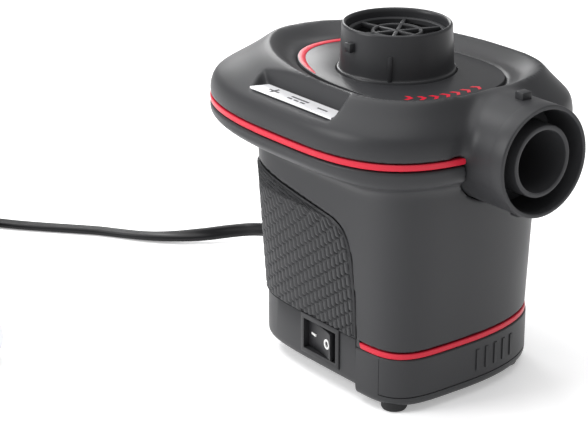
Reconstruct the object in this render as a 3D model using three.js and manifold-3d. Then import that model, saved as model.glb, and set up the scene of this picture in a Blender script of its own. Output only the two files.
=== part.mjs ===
// Electric air mattress pump, 12 V. A fan in the head draws air in through the port on top and blows it out
// through the nozzle on +X. The motor stands below it in the body, the rocker switch is on -Y, and the flat
// lead leaves the back of the body on -X. Millimetres, +Z up, origin under the top port on the floor.
import * as THREE from 'three';
import { ParametricGeometry } from 'three/addons/geometries/ParametricGeometry.js';
import { mergeVertices } from 'three/addons/utils/BufferGeometryUtils.js';
import Module from 'manifold-3d';

const wasm = await Module();
wasm.setup();

// ---- driving dimensions ----
const HEIGHT = 122;              // floor to the rim of the top port
const WALL = 2;                  // moulded wall thickness
const FIT = 0.3;                 // clearance between pieces that lie against each other
const RIM_STEPS = 48;            // steps around the case outlines
const ROUND = 20;                // steps around round pieces

// Outlines in plan: reach from a centre (x, y) to each side, with a superellipse power for each corner zone.
const HEAD = {
  x: 0, y: 0, left: 70.9, right: 55, front: 51.4, back: 51.4,
  leftPower: 2.7, frontPower: 3.25, backPower: 3.25,
};
const CREST = {
  x: 12, y: 0, left: 68, right: 34, front: 38, back: 38.5, leftPower: 1.95, frontPower: 3, backPower: 3,
};
const PLATE = {
  x: 9, y: 0, left: 50, right: 30, front: 29, back: 29, leftPower: 2.2, frontPower: 3, backPower: 2.3,
};
const BODY = {
  x: 20, y: -9, left: 55.9, right: 26.2, front: 28.2, back: 46.2,
  leftPower: 5, frontPower: 4.3, backPower: 2.4,
};
const NECK_OUTLINE = {           // the body widens upwards to this outline
  x: 20, y: -9, left: 59.6, right: 28.4, front: 30.4, back: 48.4,
  leftPower: 5, frontPower: 4.3, backPower: 2.4,
};

const OUTLET = { y: 2.5, z: 90, face: 70.86, radius: 19, bore: 17.4, tube: 12.5, tubeBore: 10.4 };
const PORT = { radius: 19, foot: 19.7, ring: 20.6, bore: 17.2, grille: 117 };
const COLLAR_BACK = 43.5;        // inner end of the outlet collar
const TRIM_BOTTOM = 88.9;
const TRIM_TOP = 91.1;
const PLATE_SEAT = 103.4;        // ledge in the head cover that carries the top plate
const PLATE_TOP = 105.6;
const NECK = 75;                 // the body's straight part ends here
const FOOT_HEIGHT = 3.4;
const COVER_BOTTOM = 5.2;        // lower edge of the rear cover
const SKIRT_TOP = 19.6;
const LOWER_TRIM_TOP = 21.8;
const GRIP_BOTTOM = 22;
const SEAM_X = 25;               // upright seam between the body shell and the rear cover
const PAD = 1.3;                 // thickness of the grip pad
const SKIRT_PROUD = -0.5;        // inset of the skirt's face: it stands out from the body
const SKIRT_BOTTOM = 2.6;
const BADGE_DEPTH = 1;
const BADGE_EDGE = 36.5;         // where the badge panel ends, round both +X corners
const BADGE_RIBS = [-1, 3.5, 8, 12.5, 17];

const SWITCH = { x: 5.7, z: 15.3, width: 21, height: 15, face: -37.9 };
const ROCKER_TILT = 10.5;        // degrees to each side of level
const ROCKER_PIVOT = 5;          // depth of the rocker's pivot behind the bezel face

const MOTOR = { radius: 18, bottom: 24, top: 78.6, shaft: 1.5 };
const BOWL = { radius: 32.6, wall: 1.6, floor: 79.4, top: 100.9 };
const IMPELLER = { radius: 29.2, plate: 84, top: 98, count: 9 };

const LEAD_EXIT = { x: -34.9, y: 8, z: 16 };
const LEAD = { width: 5.4, thickness: 2.8 };
const LEAD_FLOOR = 1.6;          // height of the lead's centre where it lies flat
const COIL = { x: -192.8, y: -96, inner: 23.1, outer: 39.9, height: 11.8 };
const PLUG = { x: -134, y: -124.5, radius: 10.4, length: 62 };

// ---- outlines ----
function outlinePoint(outline, angle, inset = 0) {
  const cos = Math.cos(angle);
  const sin = Math.sin(angle);
  const reachX = (cos < 0 ? outline.left : outline.right) - inset;
  const reachY = (sin < 0 ? outline.front : outline.back) - inset;
  const rightPower = sin < 0 ? outline.frontPower : outline.backPower;
  const power = cos < 0 ? outline.leftPower : rightPower;
  const radius = (Math.abs(cos / reachX) ** power + Math.abs(sin / reachY) ** power) ** (-1 / power);
  return [outline.x + radius * cos, outline.y + radius * sin];
}

function circleOutline(radius) {
  return {
    x: 0, y: 0, left: radius, right: radius, front: radius, back: radius,
    leftPower: 2, frontPower: 2, backPower: 2,
  };
}

// A level is one closed ring of a moulded wall: angle -> [x, y, z].
function level(outline, inset, z) {
  return (angle) => [...outlinePoint(outline, angle, inset), z];
}

// A ring part of the way from one outline to another.
function between(from, to, share, inset, z) {
  return (angle) => {
    const [fromX, fromY] = outlinePoint(from, angle, inset);
    const [toX, toY] = outlinePoint(to, angle, inset);
    return [fromX + (toX - fromX) * share, fromY + (toY - fromY) * share, z];
  };
}

// ---- solids ----
function toSolid(geometry) {
  const bare = geometry.clone();
  bare.deleteAttribute('normal');
  bare.deleteAttribute('uv');
  const merged = mergeVertices(bare, 1e-4);
  const places = merged.attributes.position;
  const index = merged.index.array;
  const corners = [];
  let volume = 0;
  const [p, q, r] = [new THREE.Vector3(), new THREE.Vector3(), new THREE.Vector3()];
  for (let i = 0; i < index.length; i += 3) {
    const [a, b, c] = [index[i], index[i + 1], index[i + 2]];
    if (a === b || b === c || c === a) continue;
    corners.push([a, b, c]);
    p.fromBufferAttribute(places, a);
    q.fromBufferAttribute(places, b);
    r.fromBufferAttribute(places, c);
    volume += p.dot(q.cross(r));
  }
  const outward = volume > 0 ? corners : corners.map(([a, b, c]) => [a, c, b]);
  const mesh = new wasm.Mesh({
    numProp: 3,
    vertProperties: Float32Array.from(places.array),
    triVerts: Uint32Array.from(outward.flat()),
  });
  return new wasm.Manifold(mesh);
}

function toGeometry(solid) {
  const { numProp, vertProperties, triVerts } = solid.getMesh();
  const geometry = new THREE.BufferGeometry();
  geometry.setAttribute('position', new THREE.BufferAttribute(vertProperties, numProp));
  geometry.setIndex(new THREE.BufferAttribute(triVerts, 1));
  geometry.computeVertexNormals();
  return geometry;
}

function loft(levels, steps = RIM_STEPS) {
  function place(u, v, target) {
    const angle = 2 * Math.PI * (Math.round(u * steps) % steps) / steps;
    const ring = levels[Math.round(v * levels.length) % levels.length];
    target.set(...ring(angle));
  }
  return toSolid(new ParametricGeometry(place, steps, levels.length));
}

function box(x0, x1, y0, y1, z0, z1) {
  const geometry = new THREE.BoxGeometry(x1 - x0, y1 - y0, z1 - z0);
  return toSolid(geometry.translate((x0 + x1) / 2, (y0 + y1) / 2, (z0 + z1) / 2));
}

// A turned piece about +Z. The profile is [radius, z] pairs.
function turnedGeometry(profile, steps = ROUND) {
  const points = profile.map(([radius, z]) => new THREE.Vector2(radius, z));
  return new THREE.LatheGeometry(points, steps).rotateX(Math.PI / 2);
}

function turned(profile, x = 0, y = 0, steps = ROUND) {
  return toSolid(turnedGeometry(profile, steps).translate(x, y, 0));
}

function tube(inner, outer, z0, z1, x = 0, y = 0, steps = ROUND) {
  return turned([[inner, z0], [outer, z0], [outer, z1], [inner, z1], [inner, z0]], x, y, steps);
}

function rod(radius, z0, z1, x = 0, y = 0, steps = ROUND) {
  return turned([[0, z0], [radius, z0], [radius, z1], [0, z1]], x, y, steps);
}

// A turned piece about an axis along +X at (y, z). The profile is [radius, x] pairs.
function turnedAlongX(profile, y, z, steps = ROUND) {
  return toSolid(turnedGeometry(profile, steps).rotateY(Math.PI / 2).translate(0, y, z));
}

function rodAlongX(radius, x0, x1, y, z, steps = ROUND) {
  return turnedAlongX([[0, x0], [radius, x0], [radius, x1], [0, x1]], y, z, steps);
}

function rodAlongY(radius, y0, y1, x, z, steps = ROUND) {
  const geometry = turnedGeometry([[0, y0], [radius, y0], [radius, y1], [0, y1]], steps);
  return toSolid(geometry.rotateX(-Math.PI / 2).translate(x, 0, z));
}

function shapeOf(points) {
  return new THREE.Shape(points.map(([x, y]) => new THREE.Vector2(x, y)));
}

function slab(shape, z0, z1, curveSegments = 6) {
  const geometry = new THREE.ExtrudeGeometry(shape, { depth: z1 - z0, bevelEnabled: false, curveSegments });
  return toSolid(geometry.translate(0, 0, z0));
}

function ringPoints(outline, inset, steps = RIM_STEPS) {
  return Array.from({ length: steps }, (_, i) => outlinePoint(outline, 2 * Math.PI * i / steps, inset));
}

// A prism drawn in the XZ plane and run along Y.
function prismAlongY(shape, y0, y1, curveSegments = 8) {
  const geometry = new THREE.ExtrudeGeometry(shape, { depth: y1 - y0, bevelEnabled: false, curveSegments });
  return toSolid(geometry.rotateX(Math.PI / 2).translate(0, y1, 0));
}

// A prism drawn in the YZ plane and run along X.
function prismAlongX(shape, x0, x1) {
  const geometry = new THREE.ExtrudeGeometry(shape, { depth: x1 - x0, bevelEnabled: false });
  return toSolid(geometry.rotateX(Math.PI / 2).rotateZ(Math.PI / 2).translate(x0, 0, 0));
}

function join(...solids) {
  return solids.reduce((whole, solid) => whole.add(solid));
}

// ---- the assembly ----
const pump = new THREE.Group();

const finishes = {
  charcoal: new THREE.MeshStandardMaterial({ color: 0x4c4d50, roughness: 0.5 }),
  dark: new THREE.MeshStandardMaterial({ color: 0x333437, roughness: 0.4 }),
  red: new THREE.MeshStandardMaterial({ color: 0xe02743, roughness: 0.45 }),
  black: new THREE.MeshStandardMaterial({ color: 0x141416, roughness: 0.45 }),
  rubber: new THREE.MeshStandardMaterial({ color: 0x1b1b1d, roughness: 0.8 }),
  white: new THREE.MeshStandardMaterial({ color: 0xe9e9e4, roughness: 0.6 }),
  steel: new THREE.MeshStandardMaterial({ color: 0xb9bcc0, roughness: 0.35, metalness: 1 }),
  silver: new THREE.MeshStandardMaterial({ color: 0xc9cacc, roughness: 0.3, metalness: 0.4 }),
  ferrite: new THREE.MeshStandardMaterial({ color: 0x3a3a3c, roughness: 0.7 }),
  copper: new THREE.MeshStandardMaterial({ color: 0xb56b3c, roughness: 0.4, metalness: 1 }),
  brass: new THREE.MeshStandardMaterial({ color: 0xc9a659, roughness: 0.35, metalness: 1 }),
  leadRed: new THREE.MeshStandardMaterial({ color: 0xa81f1f, roughness: 0.5 }),
};

function addPart(name, solid, finish) {
  const mesh = new THREE.Mesh(toGeometry(solid), finishes[finish]);
  mesh.name = name;
  pump.add(mesh);
  return mesh;
}

// ---- head: cover, plate, trim ----
const headScrewPlaces = [[14, -45.2], [14, 45.2], [-52, -27], [-52, 27]];
const HEAD_SCREW = { seat: 82, hole: 2.6, shank: 1.05 };
const BOSS_BOTTOM = 92;          // the cover's screw bosses hang down to here
const headCavity = [
  level(circleOutline(19), 0, 101.4),
  level(PLATE, -2, 101.4),
  between(HEAD, CREST, 1, 1.6, 106.8),
  between(HEAD, CREST, 0.5, WALL, 101.6),
  between(HEAD, CREST, 0.1, WALL + 0.2, 97),
  level(HEAD, WALL + 0.4, TRIM_TOP + 0.1),
];

const headOutside = [
  level(HEAD, 0.1, TRIM_TOP + 0.1),
  between(HEAD, CREST, 0.02, 0, 95.6),
  between(HEAD, CREST, 0.08, 0, 98.4),
  between(HEAD, CREST, 0.22, 0, 100.6),
  between(HEAD, CREST, 0.55, 0, 104.6),
  between(HEAD, CREST, 0.86, 0, 108.4),
  between(HEAD, CREST, 1, 0, 109.2),
  between(CREST, PLATE, 0.25, -0.3, 108.2),
  between(CREST, PLATE, 0.6, -0.3, 105.6),
  level(PLATE, -FIT, 105),
  level(PLATE, -FIT, PLATE_SEAT),
  level(circleOutline(19), 0, PLATE_SEAT),
];

// The finger pocket on -Y: a shelf with a wall behind it that leans back up to the crest.
const POCKET = {
  left: -29, right: 22, shelfLeft: -22, shelf: 101.2, wall: -39.2, top: 112, wallTop: -37.6, front: -56,
};

function pocketSolid(grow) {
  const section = shapeOf([
    [POCKET.front, POCKET.shelf - grow + 0.3],
    [POCKET.wall + grow, POCKET.shelf - grow - 0.3],
    [POCKET.wallTop + grow, POCKET.top],
    [POCKET.front, POCKET.top],
  ]);
  const ends = shapeOf([
    [POCKET.shelfLeft - grow, POCKET.shelf - grow - 1],
    [POCKET.right + grow, POCKET.shelf - grow - 1],
    [POCKET.right + grow, POCKET.top],
    [POCKET.left - grow - 1, POCKET.top],
  ]);
  return prismAlongX(section, POCKET.left - 8, POCKET.right + 4).intersect(prismAlongY(ends, -60, -20));
}

const coverBulk = loft([
  ...headOutside.slice(0, 10),
  level(circleOutline(1), 0, 105),
  level(circleOutline(1), 0, TRIM_TOP + 0.1),
]);
const outletHole = rodAlongX(OUTLET.radius + FIT, COLLAR_BACK - FIT, 80, OUTLET.y, OUTLET.z, 36);
const coverWall = loft([...headOutside, ...headCavity]);
const pocketTub = pocketSolid(WALL).intersect(coverBulk).subtract(rod(BOWL.radius + FIT, 90, 101.3));
const plateSeat = slab(shapeOf(ringPoints(PLATE, -FIT)), PLATE_SEAT, 110);
const bosses = join(...headScrewPlaces.map(([x, y]) => rod(3, BOSS_BOTTOM, 108, x, y, 12)));
const bossHoles = join(...headScrewPlaces.map(([x, y]) => rod(1.1, 90, BOSS_BOTTOM + 5, x, y, 8)));
const headCover = coverWall.add(pocketTub).add(bosses.intersect(coverBulk)).subtract(bossHoles)
  .subtract(plateSeat).subtract(pocketSolid(0)).subtract(outletHole);
addPart('head_cover', headCover, 'charcoal');

const CRESCENT_HALF_SPAN = THREE.MathUtils.degToRad(53);
function crescentShape(grow) {
  const outer = [];
  const inner = [];
  const steps = 24;
  for (let i = 0; i <= steps; i += 1) {
    const angle = Math.PI - CRESCENT_HALF_SPAN + 2 * CRESCENT_HALF_SPAN * i / steps;
    const width = 2.8 * Math.sin(Math.PI * (i + 0.6) / (steps + 1.2)) ** 0.6 + grow;
    outer.push(outlinePoint(PLATE, angle, grow > 0 ? -1 : 0.2));
    inner.unshift(outlinePoint(PLATE, angle, 0.2 + width));
  }
  return shapeOf([...outer, ...inner]);
}

const PLATE_THICKNESS = PLATE_TOP - PLATE_SEAT;
const topPlate = slab(shapeOf(ringPoints(PLATE, 0.1)), PLATE_SEAT, PLATE_TOP)
  .subtract(rod(PORT.ring + FIT, 90, 120))
  .subtract(slab(crescentShape(0.15), PLATE_SEAT + PLATE_THICKNESS / 2, 110));
addPart('top_plate', topPlate, 'dark');
addPart('accent_crescent', slab(crescentShape(0), PLATE_SEAT + PLATE_THICKNESS / 2, PLATE_TOP + 0.15), 'red');

const upperTrim = loft([
  level(HEAD, WALL + 0.2, TRIM_BOTTOM),
  level(HEAD, -0.05, TRIM_BOTTOM),
  level(HEAD, -0.05, TRIM_TOP),
  level(HEAD, WALL + 0.2, TRIM_TOP),
]).subtract(outletHole);
addPart('upper_trim', upperTrim, 'red');

// Rating strip on the pocket's shelf, with raised direct-current marks: one bar over three dashes.
const STRIP = { left: -20, right: 20.4, front: -46.4, back: -39.8, bottom: 101.55, top: 102.2 };
const stripShape = shapeOf([
  [STRIP.left - 2, STRIP.front], [STRIP.right + 1.5, STRIP.front],
  [STRIP.right, STRIP.back], [STRIP.left, STRIP.back],
]);
const stripMarks = [[-4, 5, -42.8, -41.6], ...[-4, -0.6, 2.8].map((x) => [x, x + 2.2, -44.8, -43.6])];
const ratingPlate = stripMarks.reduce(
  (plate, [x0, x1, y0, y1]) => plate.add(box(x0, x1, y0, y1, STRIP.bottom, STRIP.top + 0.4)),
  slab(stripShape, STRIP.bottom, STRIP.top),
);
addPart('rating_plate', ratingPlate, 'silver');

// ---- inlet port on top ----
const portTube = turned([
  [PORT.bore, 100.6], [18.6, 100.6], [18.6, PLATE_SEAT], [PORT.ring, PLATE_SEAT], [PORT.ring, 106.2],
  [PORT.foot + 0.1, 106.8], [PORT.radius, 121.4], [18.6, HEIGHT], [17.9, HEIGHT], [17.4, 121.2],
  [17.4, PORT.grille + 0.1], [16.4, PORT.grille + 0.1], [16.4, PORT.grille - 2.6], [PORT.bore, 114],
  [PORT.bore, 100.6],
], 0, 0, 36);
const portLugs = [-93, 87].map((degrees) => box(-1.6, 1.6, 17.9, 21.2, 114.4, 117.6)
  .rotate([0, 0, degrees - 90]));
const portRibs = [-47, 133].map((degrees) => box(-0.8, 0.8, 18, 20.4, 106, 115).rotate([0, 0, degrees - 90]));
addPart('inlet_port', join(portTube, ...portLugs, ...portRibs), 'dark');

// The guard drops on to the shoulder inside the port: an outer ring, a middle ring and three bars across.
const guardTop = PORT.grille + 2;
const guardBars = [10, 70, 130].map((degrees) => box(-16.6, 16.6, -0.7, 0.7, PORT.grille + 0.2, guardTop)
  .rotate([0, 0, degrees]));
const guard = join(
  tube(15.6, 17.2, PORT.grille + 0.2, guardTop),
  tube(7.6, 8.9, PORT.grille + 0.2, guardTop),
  ...guardBars,
);
addPart('inlet_guard', guard, 'dark');

// ---- outlet on +X ----
const collar = turnedAlongX([
  [OUTLET.bore, COLLAR_BACK], [OUTLET.radius - 1.5, COLLAR_BACK], [OUTLET.radius, COLLAR_BACK + 4],
  [OUTLET.radius, OUTLET.face - 0.6], [OUTLET.radius - 0.6, OUTLET.face], [OUTLET.bore + 0.4, OUTLET.face],
  [OUTLET.bore, OUTLET.face - 0.6], [OUTLET.bore, COLLAR_BACK],
], OUTLET.y, OUTLET.z, 36);
const collarLugs = [1, -1].map((side) => box(
  58.2, 61.6, OUTLET.y - 2, OUTLET.y + 2,
  OUTLET.z + (side > 0 ? 18.2 : -21.4), OUTLET.z + (side > 0 ? 21.4 : -18.2),
));
const wedge = shapeOf([[57, 0], [63.5, 0], [59, 2.4], [57, 2.4]]);
const collarWedges = [45, 225].map((degrees) => prismAlongY(wedge, -0.9, 0.9)
  .translate([0, 0, OUTLET.radius - 0.6]).rotate([degrees, 0, 0]).translate([0, OUTLET.y, OUTLET.z]));
addPart('outlet_collar', join(collar, ...collarLugs, ...collarWedges), 'charcoal');

const nozzle = turnedAlongX([
  [OUTLET.tubeBore - 1, 28], [OUTLET.tubeBore + 0.8, 28], [OUTLET.tubeBore + 0.8, COLLAR_BACK],
  [OUTLET.bore - FIT, COLLAR_BACK], [OUTLET.bore - FIT, 56], [OUTLET.tube, 56],
  [OUTLET.tube - 0.2, OUTLET.face - 1.4], [OUTLET.tube - 0.7, OUTLET.face - 0.9],
  [OUTLET.tubeBore + 0.4, OUTLET.face - 0.9], [OUTLET.tubeBore, OUTLET.face - 1.5],
  [OUTLET.tubeBore, COLLAR_BACK], [OUTLET.tubeBore - 1, 40], [OUTLET.tubeBore - 1, 28],
], OUTLET.y, OUTLET.z, 32).subtract(rod(BOWL.radius + FIT, 60, 120, 0, 0, 36));
addPart('outlet_nozzle', nozzle, 'charcoal');

// ---- body shell: underside of the head, neck, and the +X half of the body ----
const flangeOutside = [
  level(BODY, 0, LOWER_TRIM_TOP + 0.3),
  level(NECK_OUTLINE, 0, NECK),
  between(NECK_OUTLINE, HEAD, 0.12, 0, 79),
  between(NECK_OUTLINE, HEAD, 0.36, 0, 80.8),
  between(NECK_OUTLINE, HEAD, 0.78, 0, 82.6),
  between(NECK_OUTLINE, HEAD, 0.95, 0, 84.4),
  level(HEAD, 0, 86.2),
  level(HEAD, 0, TRIM_BOTTOM - 0.5),
];
const flangeInside = [
  level(HEAD, WALL + 0.4, TRIM_BOTTOM - 0.5),
  level(HEAD, WALL + 0.2, 86.4),
  between(NECK_OUTLINE, HEAD, 0.78, WALL, 84.6),
  between(NECK_OUTLINE, HEAD, 0.1, WALL, 81.2),
  level(NECK_OUTLINE, WALL, NECK),
  level(BODY, WALL, LOWER_TRIM_TOP + 0.3),
];

// The region of the rear cover, seen along Y: below a sloping line and left of an upright seam.
function coverRegion(gap) {
  const shape = new THREE.Shape();
  shape.moveTo(-80, -2);
  shape.lineTo(SEAM_X - gap, -2);
  shape.lineTo(SEAM_X - 0.5 - gap, 37);
  shape.lineTo(SEAM_X - 1.8 - gap, 51);
  shape.bezierCurveTo(22 - gap, 57.5 - gap, 20 - gap, 62 - gap, 13 - gap, 63.6 - gap);
  shape.lineTo(-27, 70.2 - gap);
  shape.lineTo(-80, 76 - gap);
  return prismAlongY(shape, -60, 60, 6);
}

// Each head screw sits at the bottom of a well in the flange and reaches up into the cover's boss.
const flangeBulk = loft([
  ...flangeOutside,
  level(circleOutline(1), 0, TRIM_BOTTOM - 0.5),
  level(circleOutline(1), 0, LOWER_TRIM_TOP + 0.3),
]);
const wells = join(...headScrewPlaces.map(([x, y]) => rod(4, 80, 85.6, x, y, 12))).intersect(flangeBulk);
const wellBores = join(...headScrewPlaces.map(([x, y]) => join(
  rod(HEAD_SCREW.hole, 70, HEAD_SCREW.seat + 1.6, x, y, 12), rod(1.4, 80, 90, x, y, 8),
)));
const bodyWall = loft([...flangeOutside, ...flangeInside]).add(wells).subtract(wellBores);
const bodyShell = bodyWall.subtract(coverRegion(0)).subtract(outletHole);
addPart('body_shell', bodyShell, 'charcoal');

// ---- rear cover, grip pad ----
const rearOutside = [
  level(BODY, 0.3, COVER_BOTTOM),
  level(BODY, 0, GRIP_BOTTOM),
  level(BODY, PAD, GRIP_BOTTOM),
  level(NECK_OUTLINE, PAD, NECK),
  level(NECK_OUTLINE, PAD, NECK + 3),
];
const rearInside = [
  level(NECK_OUTLINE, PAD + WALL - 0.4, NECK + 3),
  level(NECK_OUTLINE, PAD + WALL - 0.4, NECK),
  level(BODY, PAD + WALL - 0.4, GRIP_BOTTOM),
  level(BODY, PAD + WALL - 0.4, COVER_BOTTOM),
];
const switchBack = SWITCH.face + 1.1;
const switchHole = box(SWITCH.x - 9.9, SWITCH.x + 9.9, -60, -30, SWITCH.z - 6.9, SWITCH.z + 6.9);
const bezelSeat = box(
  SWITCH.x - SWITCH.width / 2 - FIT / 2, SWITCH.x + SWITCH.width / 2 + FIT / 2, -60, switchBack,
  SWITCH.z - SWITCH.height / 2 - FIT / 2, SWITCH.z + SWITCH.height / 2 + FIT / 2,
);
const reliefHole = rodAlongX(3.4, -60, -25, LEAD_EXIT.y, LEAD_EXIT.z, 16);
const rearCover = loft([...rearOutside, ...rearInside]).intersect(coverRegion(FIT))
  .subtract(switchHole).subtract(bezelSeat).subtract(reliefHole);
addPart('rear_cover', rearCover, 'charcoal');

const bezelRoom = box(
  SWITCH.x - SWITCH.width / 2 - FIT, SWITCH.x + SWITCH.width / 2 + FIT, -60, -30, 0,
  SWITCH.z + SWITCH.height / 2 + FIT,
);
const gripPad = loft([
  level(BODY, PAD - 0.1, GRIP_BOTTOM + 0.2),
  level(BODY, -0.1, GRIP_BOTTOM + 0.2),
  level(NECK_OUTLINE, -0.1, NECK),
  level(NECK_OUTLINE, PAD - 0.1, NECK),
]).intersect(coverRegion(FIT)).subtract(bezelRoom);
addPart('grip_pad', gripPad, 'charcoal');

// ---- base: skirt tray, badge panel, lower trim, feet, screws ----
const skirtSide = box(SEAM_X + FIT, 80, -60, 60, 0, 60);
const skirt = loft([
  level(BODY, PAD + WALL + 1, FOOT_HEIGHT),
  level(BODY, 2, SKIRT_BOTTOM),
  level(BODY, 0.8, SKIRT_BOTTOM),
  level(BODY, SKIRT_PROUD, SKIRT_BOTTOM + 1.4),
  level(BODY, SKIRT_PROUD, SKIRT_TOP),
  level(BODY, WALL - 0.4, SKIRT_TOP),
  level(BODY, WALL - 0.4, FOOT_HEIGHT + WALL + 0.6),
  level(BODY, PAD + WALL + 1, FOOT_HEIGHT + WALL),
]).intersect(skirtSide);
const baseFloor = slab(shapeOf(ringPoints(BODY, PAD + WALL)), FOOT_HEIGHT, FOOT_HEIGHT + WALL);
const badgeBand = (proud, depth, z0, z1, edge) => loft([
  level(BODY, proud + depth, z0),
  level(BODY, proud, z0),
  level(BODY, proud, z1),
  level(BODY, proud + depth, z1),
]).intersect(box(edge, 80, -60, 60, 0, 60));
const baseScrewPlaces = [[34, -18], [27, 13], [-8, -27], [-8, 26]];
const footPlaces = [[38, -31], [34, 23.5], [-19, -22], [-20, 22]];
const footRoom = join(...footPlaces.map(([x, y]) => rod(4.7, 0, FOOT_HEIGHT, x, y, 16)));
const baseScrewHoles = join(...baseScrewPlaces.map(([x, y]) => rod(1.8, 0, 10, x, y, 12)));
const baseTray = baseFloor.add(skirt)
  .subtract(badgeBand(SKIRT_PROUD - 1, BADGE_DEPTH + 1, 5.7, 30, BADGE_EDGE - 0.15))
  .subtract(baseScrewHoles).subtract(footRoom);
addPart('base_tray', baseTray, 'charcoal');

const badge = badgeBand(SKIRT_PROUD + 0.1, BADGE_DEPTH - 0.2, 5.8, SKIRT_TOP, BADGE_EDGE);
const ribBand = badgeBand(SKIRT_PROUD - 0.3, BADGE_DEPTH, 8.5, 16.5, BADGE_EDGE);
const badgeRibs = BADGE_RIBS.map((y) => ribBand.intersect(box(30, 60, y - 0.7, y + 0.7, 8, 17)));
addPart('badge_panel', join(badge, ...badgeRibs), 'charcoal');

const lowerTrim = loft([
  level(BODY, WALL - 0.4, SKIRT_TOP + 0.1),
  level(BODY, -0.2, SKIRT_TOP + 0.1),
  level(BODY, -0.2, LOWER_TRIM_TOP),
  level(BODY, WALL - 0.4, LOWER_TRIM_TOP),
]).intersect(skirtSide);
addPart('lower_trim', lowerTrim, 'red');

footPlaces.forEach(([x, y], i) => {
  const foot = turned([[0, 0], [3.8, 0], [4.5, 0.8], [4.5, FOOT_HEIGHT], [0, FOOT_HEIGHT]], x, y, 16);
  addPart(`foot_${i + 1}`, foot, 'rubber');
});

// A screw put in from below: a flat head with a square socket, and the shank above it.
function screw(x, y, seat, headRadius, shankRadius, length) {
  const body = turned([
    [0, seat], [headRadius - 0.4, seat], [headRadius, seat + 0.4], [headRadius, seat + 1.4],
    [shankRadius, seat + 1.4], [shankRadius, seat + length], [0, seat + length],
  ], x, y, 8);
  const socket = rod(0.9, seat - 1, seat + 0.9, x, y, 4);
  return body.subtract(socket);
}
headScrewPlaces.forEach(([x, y], i) => {
  addPart(`head_screw_${i + 1}`, screw(x, y, HEAD_SCREW.seat, 2.2, HEAD_SCREW.shank, 14), 'steel');
});
baseScrewPlaces.forEach(([x, y], i) => {
  addPart(`base_screw_${i + 1}`, screw(x, y, 1.9, 2.4, 1.3, 7.4), 'steel');
});

// ---- rocker switch ----
const bezel = box(
  SWITCH.x - SWITCH.width / 2, SWITCH.x + SWITCH.width / 2, SWITCH.face, switchBack,
  SWITCH.z - SWITCH.height / 2, SWITCH.z + SWITCH.height / 2,
);
const switchBody = box(SWITCH.x - 9.6, SWITCH.x + 9.6, switchBack, -24, SWITCH.z - 6.6, SWITCH.z + 6.6);
const rockerWell = box(SWITCH.x - 8.8, SWITCH.x + 8.8, -60, -27.5, SWITCH.z - 5.6, SWITCH.z + 5.6);
addPart('switch_frame', bezel.add(switchBody).subtract(rockerWell), 'black');

// The rocker is drawn level, then turned about its upright pivot: its -X side is pressed in.
const pivotY = SWITCH.face + ROCKER_PIVOT;
const rockerShape = shapeOf([
  [-7.9, -ROCKER_PIVOT + 0.5], [-4, -ROCKER_PIVOT + 1.05], [0, -ROCKER_PIVOT + 1.25],
  [4, -ROCKER_PIVOT + 1.05], [7.9, -ROCKER_PIVOT + 0.5], [7.2, -1], [2.2, 4.4], [-2.2, 4.4], [-7.2, -1],
]);
const rockerFace = -ROCKER_PIVOT + 0.75;
const onMark = box(-6, -3.4, rockerFace - 0.45, rockerFace + 0.6, -0.35, 0.35);
const offMark = rodAlongY(1.75, rockerFace - 0.45, rockerFace + 0.6, 5, 0, 20)
  .subtract(rodAlongY(1.15, -9, 0, 5, 0, 20));
const rocker = slab(rockerShape, -5.3, 5.3).add(onMark).add(offMark)
  .rotate([0, 0, -ROCKER_TILT]).translate([SWITCH.x, pivotY, SWITCH.z]);
addPart('switch_rocker', rocker, 'black');

[-5, 5].forEach((offset, i) => {
  const x = SWITCH.x + offset;
  const blade = box(x - 0.4, x + 0.4, -23.9, -16.5, SWITCH.z - 2.4, SWITCH.z + 2.4)
    .subtract(rodAlongX(0.8, x - 2, x + 2, -18.6, SWITCH.z, 8));
  addPart(`switch_terminal_${i + 1}`, blade, 'brass');
});

// ---- motor ----
const canWall = 1.2;
const motorCan = turned([
  [MOTOR.radius - canWall, MOTOR.bottom + 3], [MOTOR.radius, MOTOR.bottom + 3], [MOTOR.radius, MOTOR.top - 1],
  [MOTOR.radius - 1, MOTOR.top], [6.2, MOTOR.top], [6.2, MOTOR.top + 2.4],
  [MOTOR.shaft + 0.1, MOTOR.top + 2.4],
  [MOTOR.shaft + 0.1, MOTOR.top - canWall - 1], [MOTOR.radius - canWall, MOTOR.top - canWall - 1],
  [MOTOR.radius - canWall, MOTOR.bottom + 3],
]);
const motorScrewPlaces = [-12.5, 12.5];
const motorScrewHoles = join(...motorScrewPlaces.map((y) => rod(1.6, 70, 90, 0, y, 12)));
addPart('motor_can', motorCan.subtract(motorScrewHoles), 'steel');
const endCap = turned([
  [MOTOR.shaft + 0.1, MOTOR.bottom], [MOTOR.radius, MOTOR.bottom], [MOTOR.radius, MOTOR.bottom + 2.8],
  [MOTOR.radius - canWall - 0.1, MOTOR.bottom + 2.8], [MOTOR.radius - canWall - 0.1, MOTOR.bottom + 4],
  [MOTOR.shaft + 0.1, MOTOR.bottom + 4], [MOTOR.shaft + 0.1, MOTOR.bottom],
]);
addPart('motor_end_cap', endCap, 'white');

[-90, 90].forEach((degrees, i) => {
  const arc = new THREE.Shape();
  const half = THREE.MathUtils.degToRad(58);
  arc.absarc(0, 0, 16.5, -half, half, false);
  arc.absarc(0, 0, 14.4, half, -half, true);
  const magnet = slab(arc, 36, 66, 10).rotate([0, 0, degrees]);
  addPart(`motor_magnet_${i + 1}`, magnet, 'ferrite');
});

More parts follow.
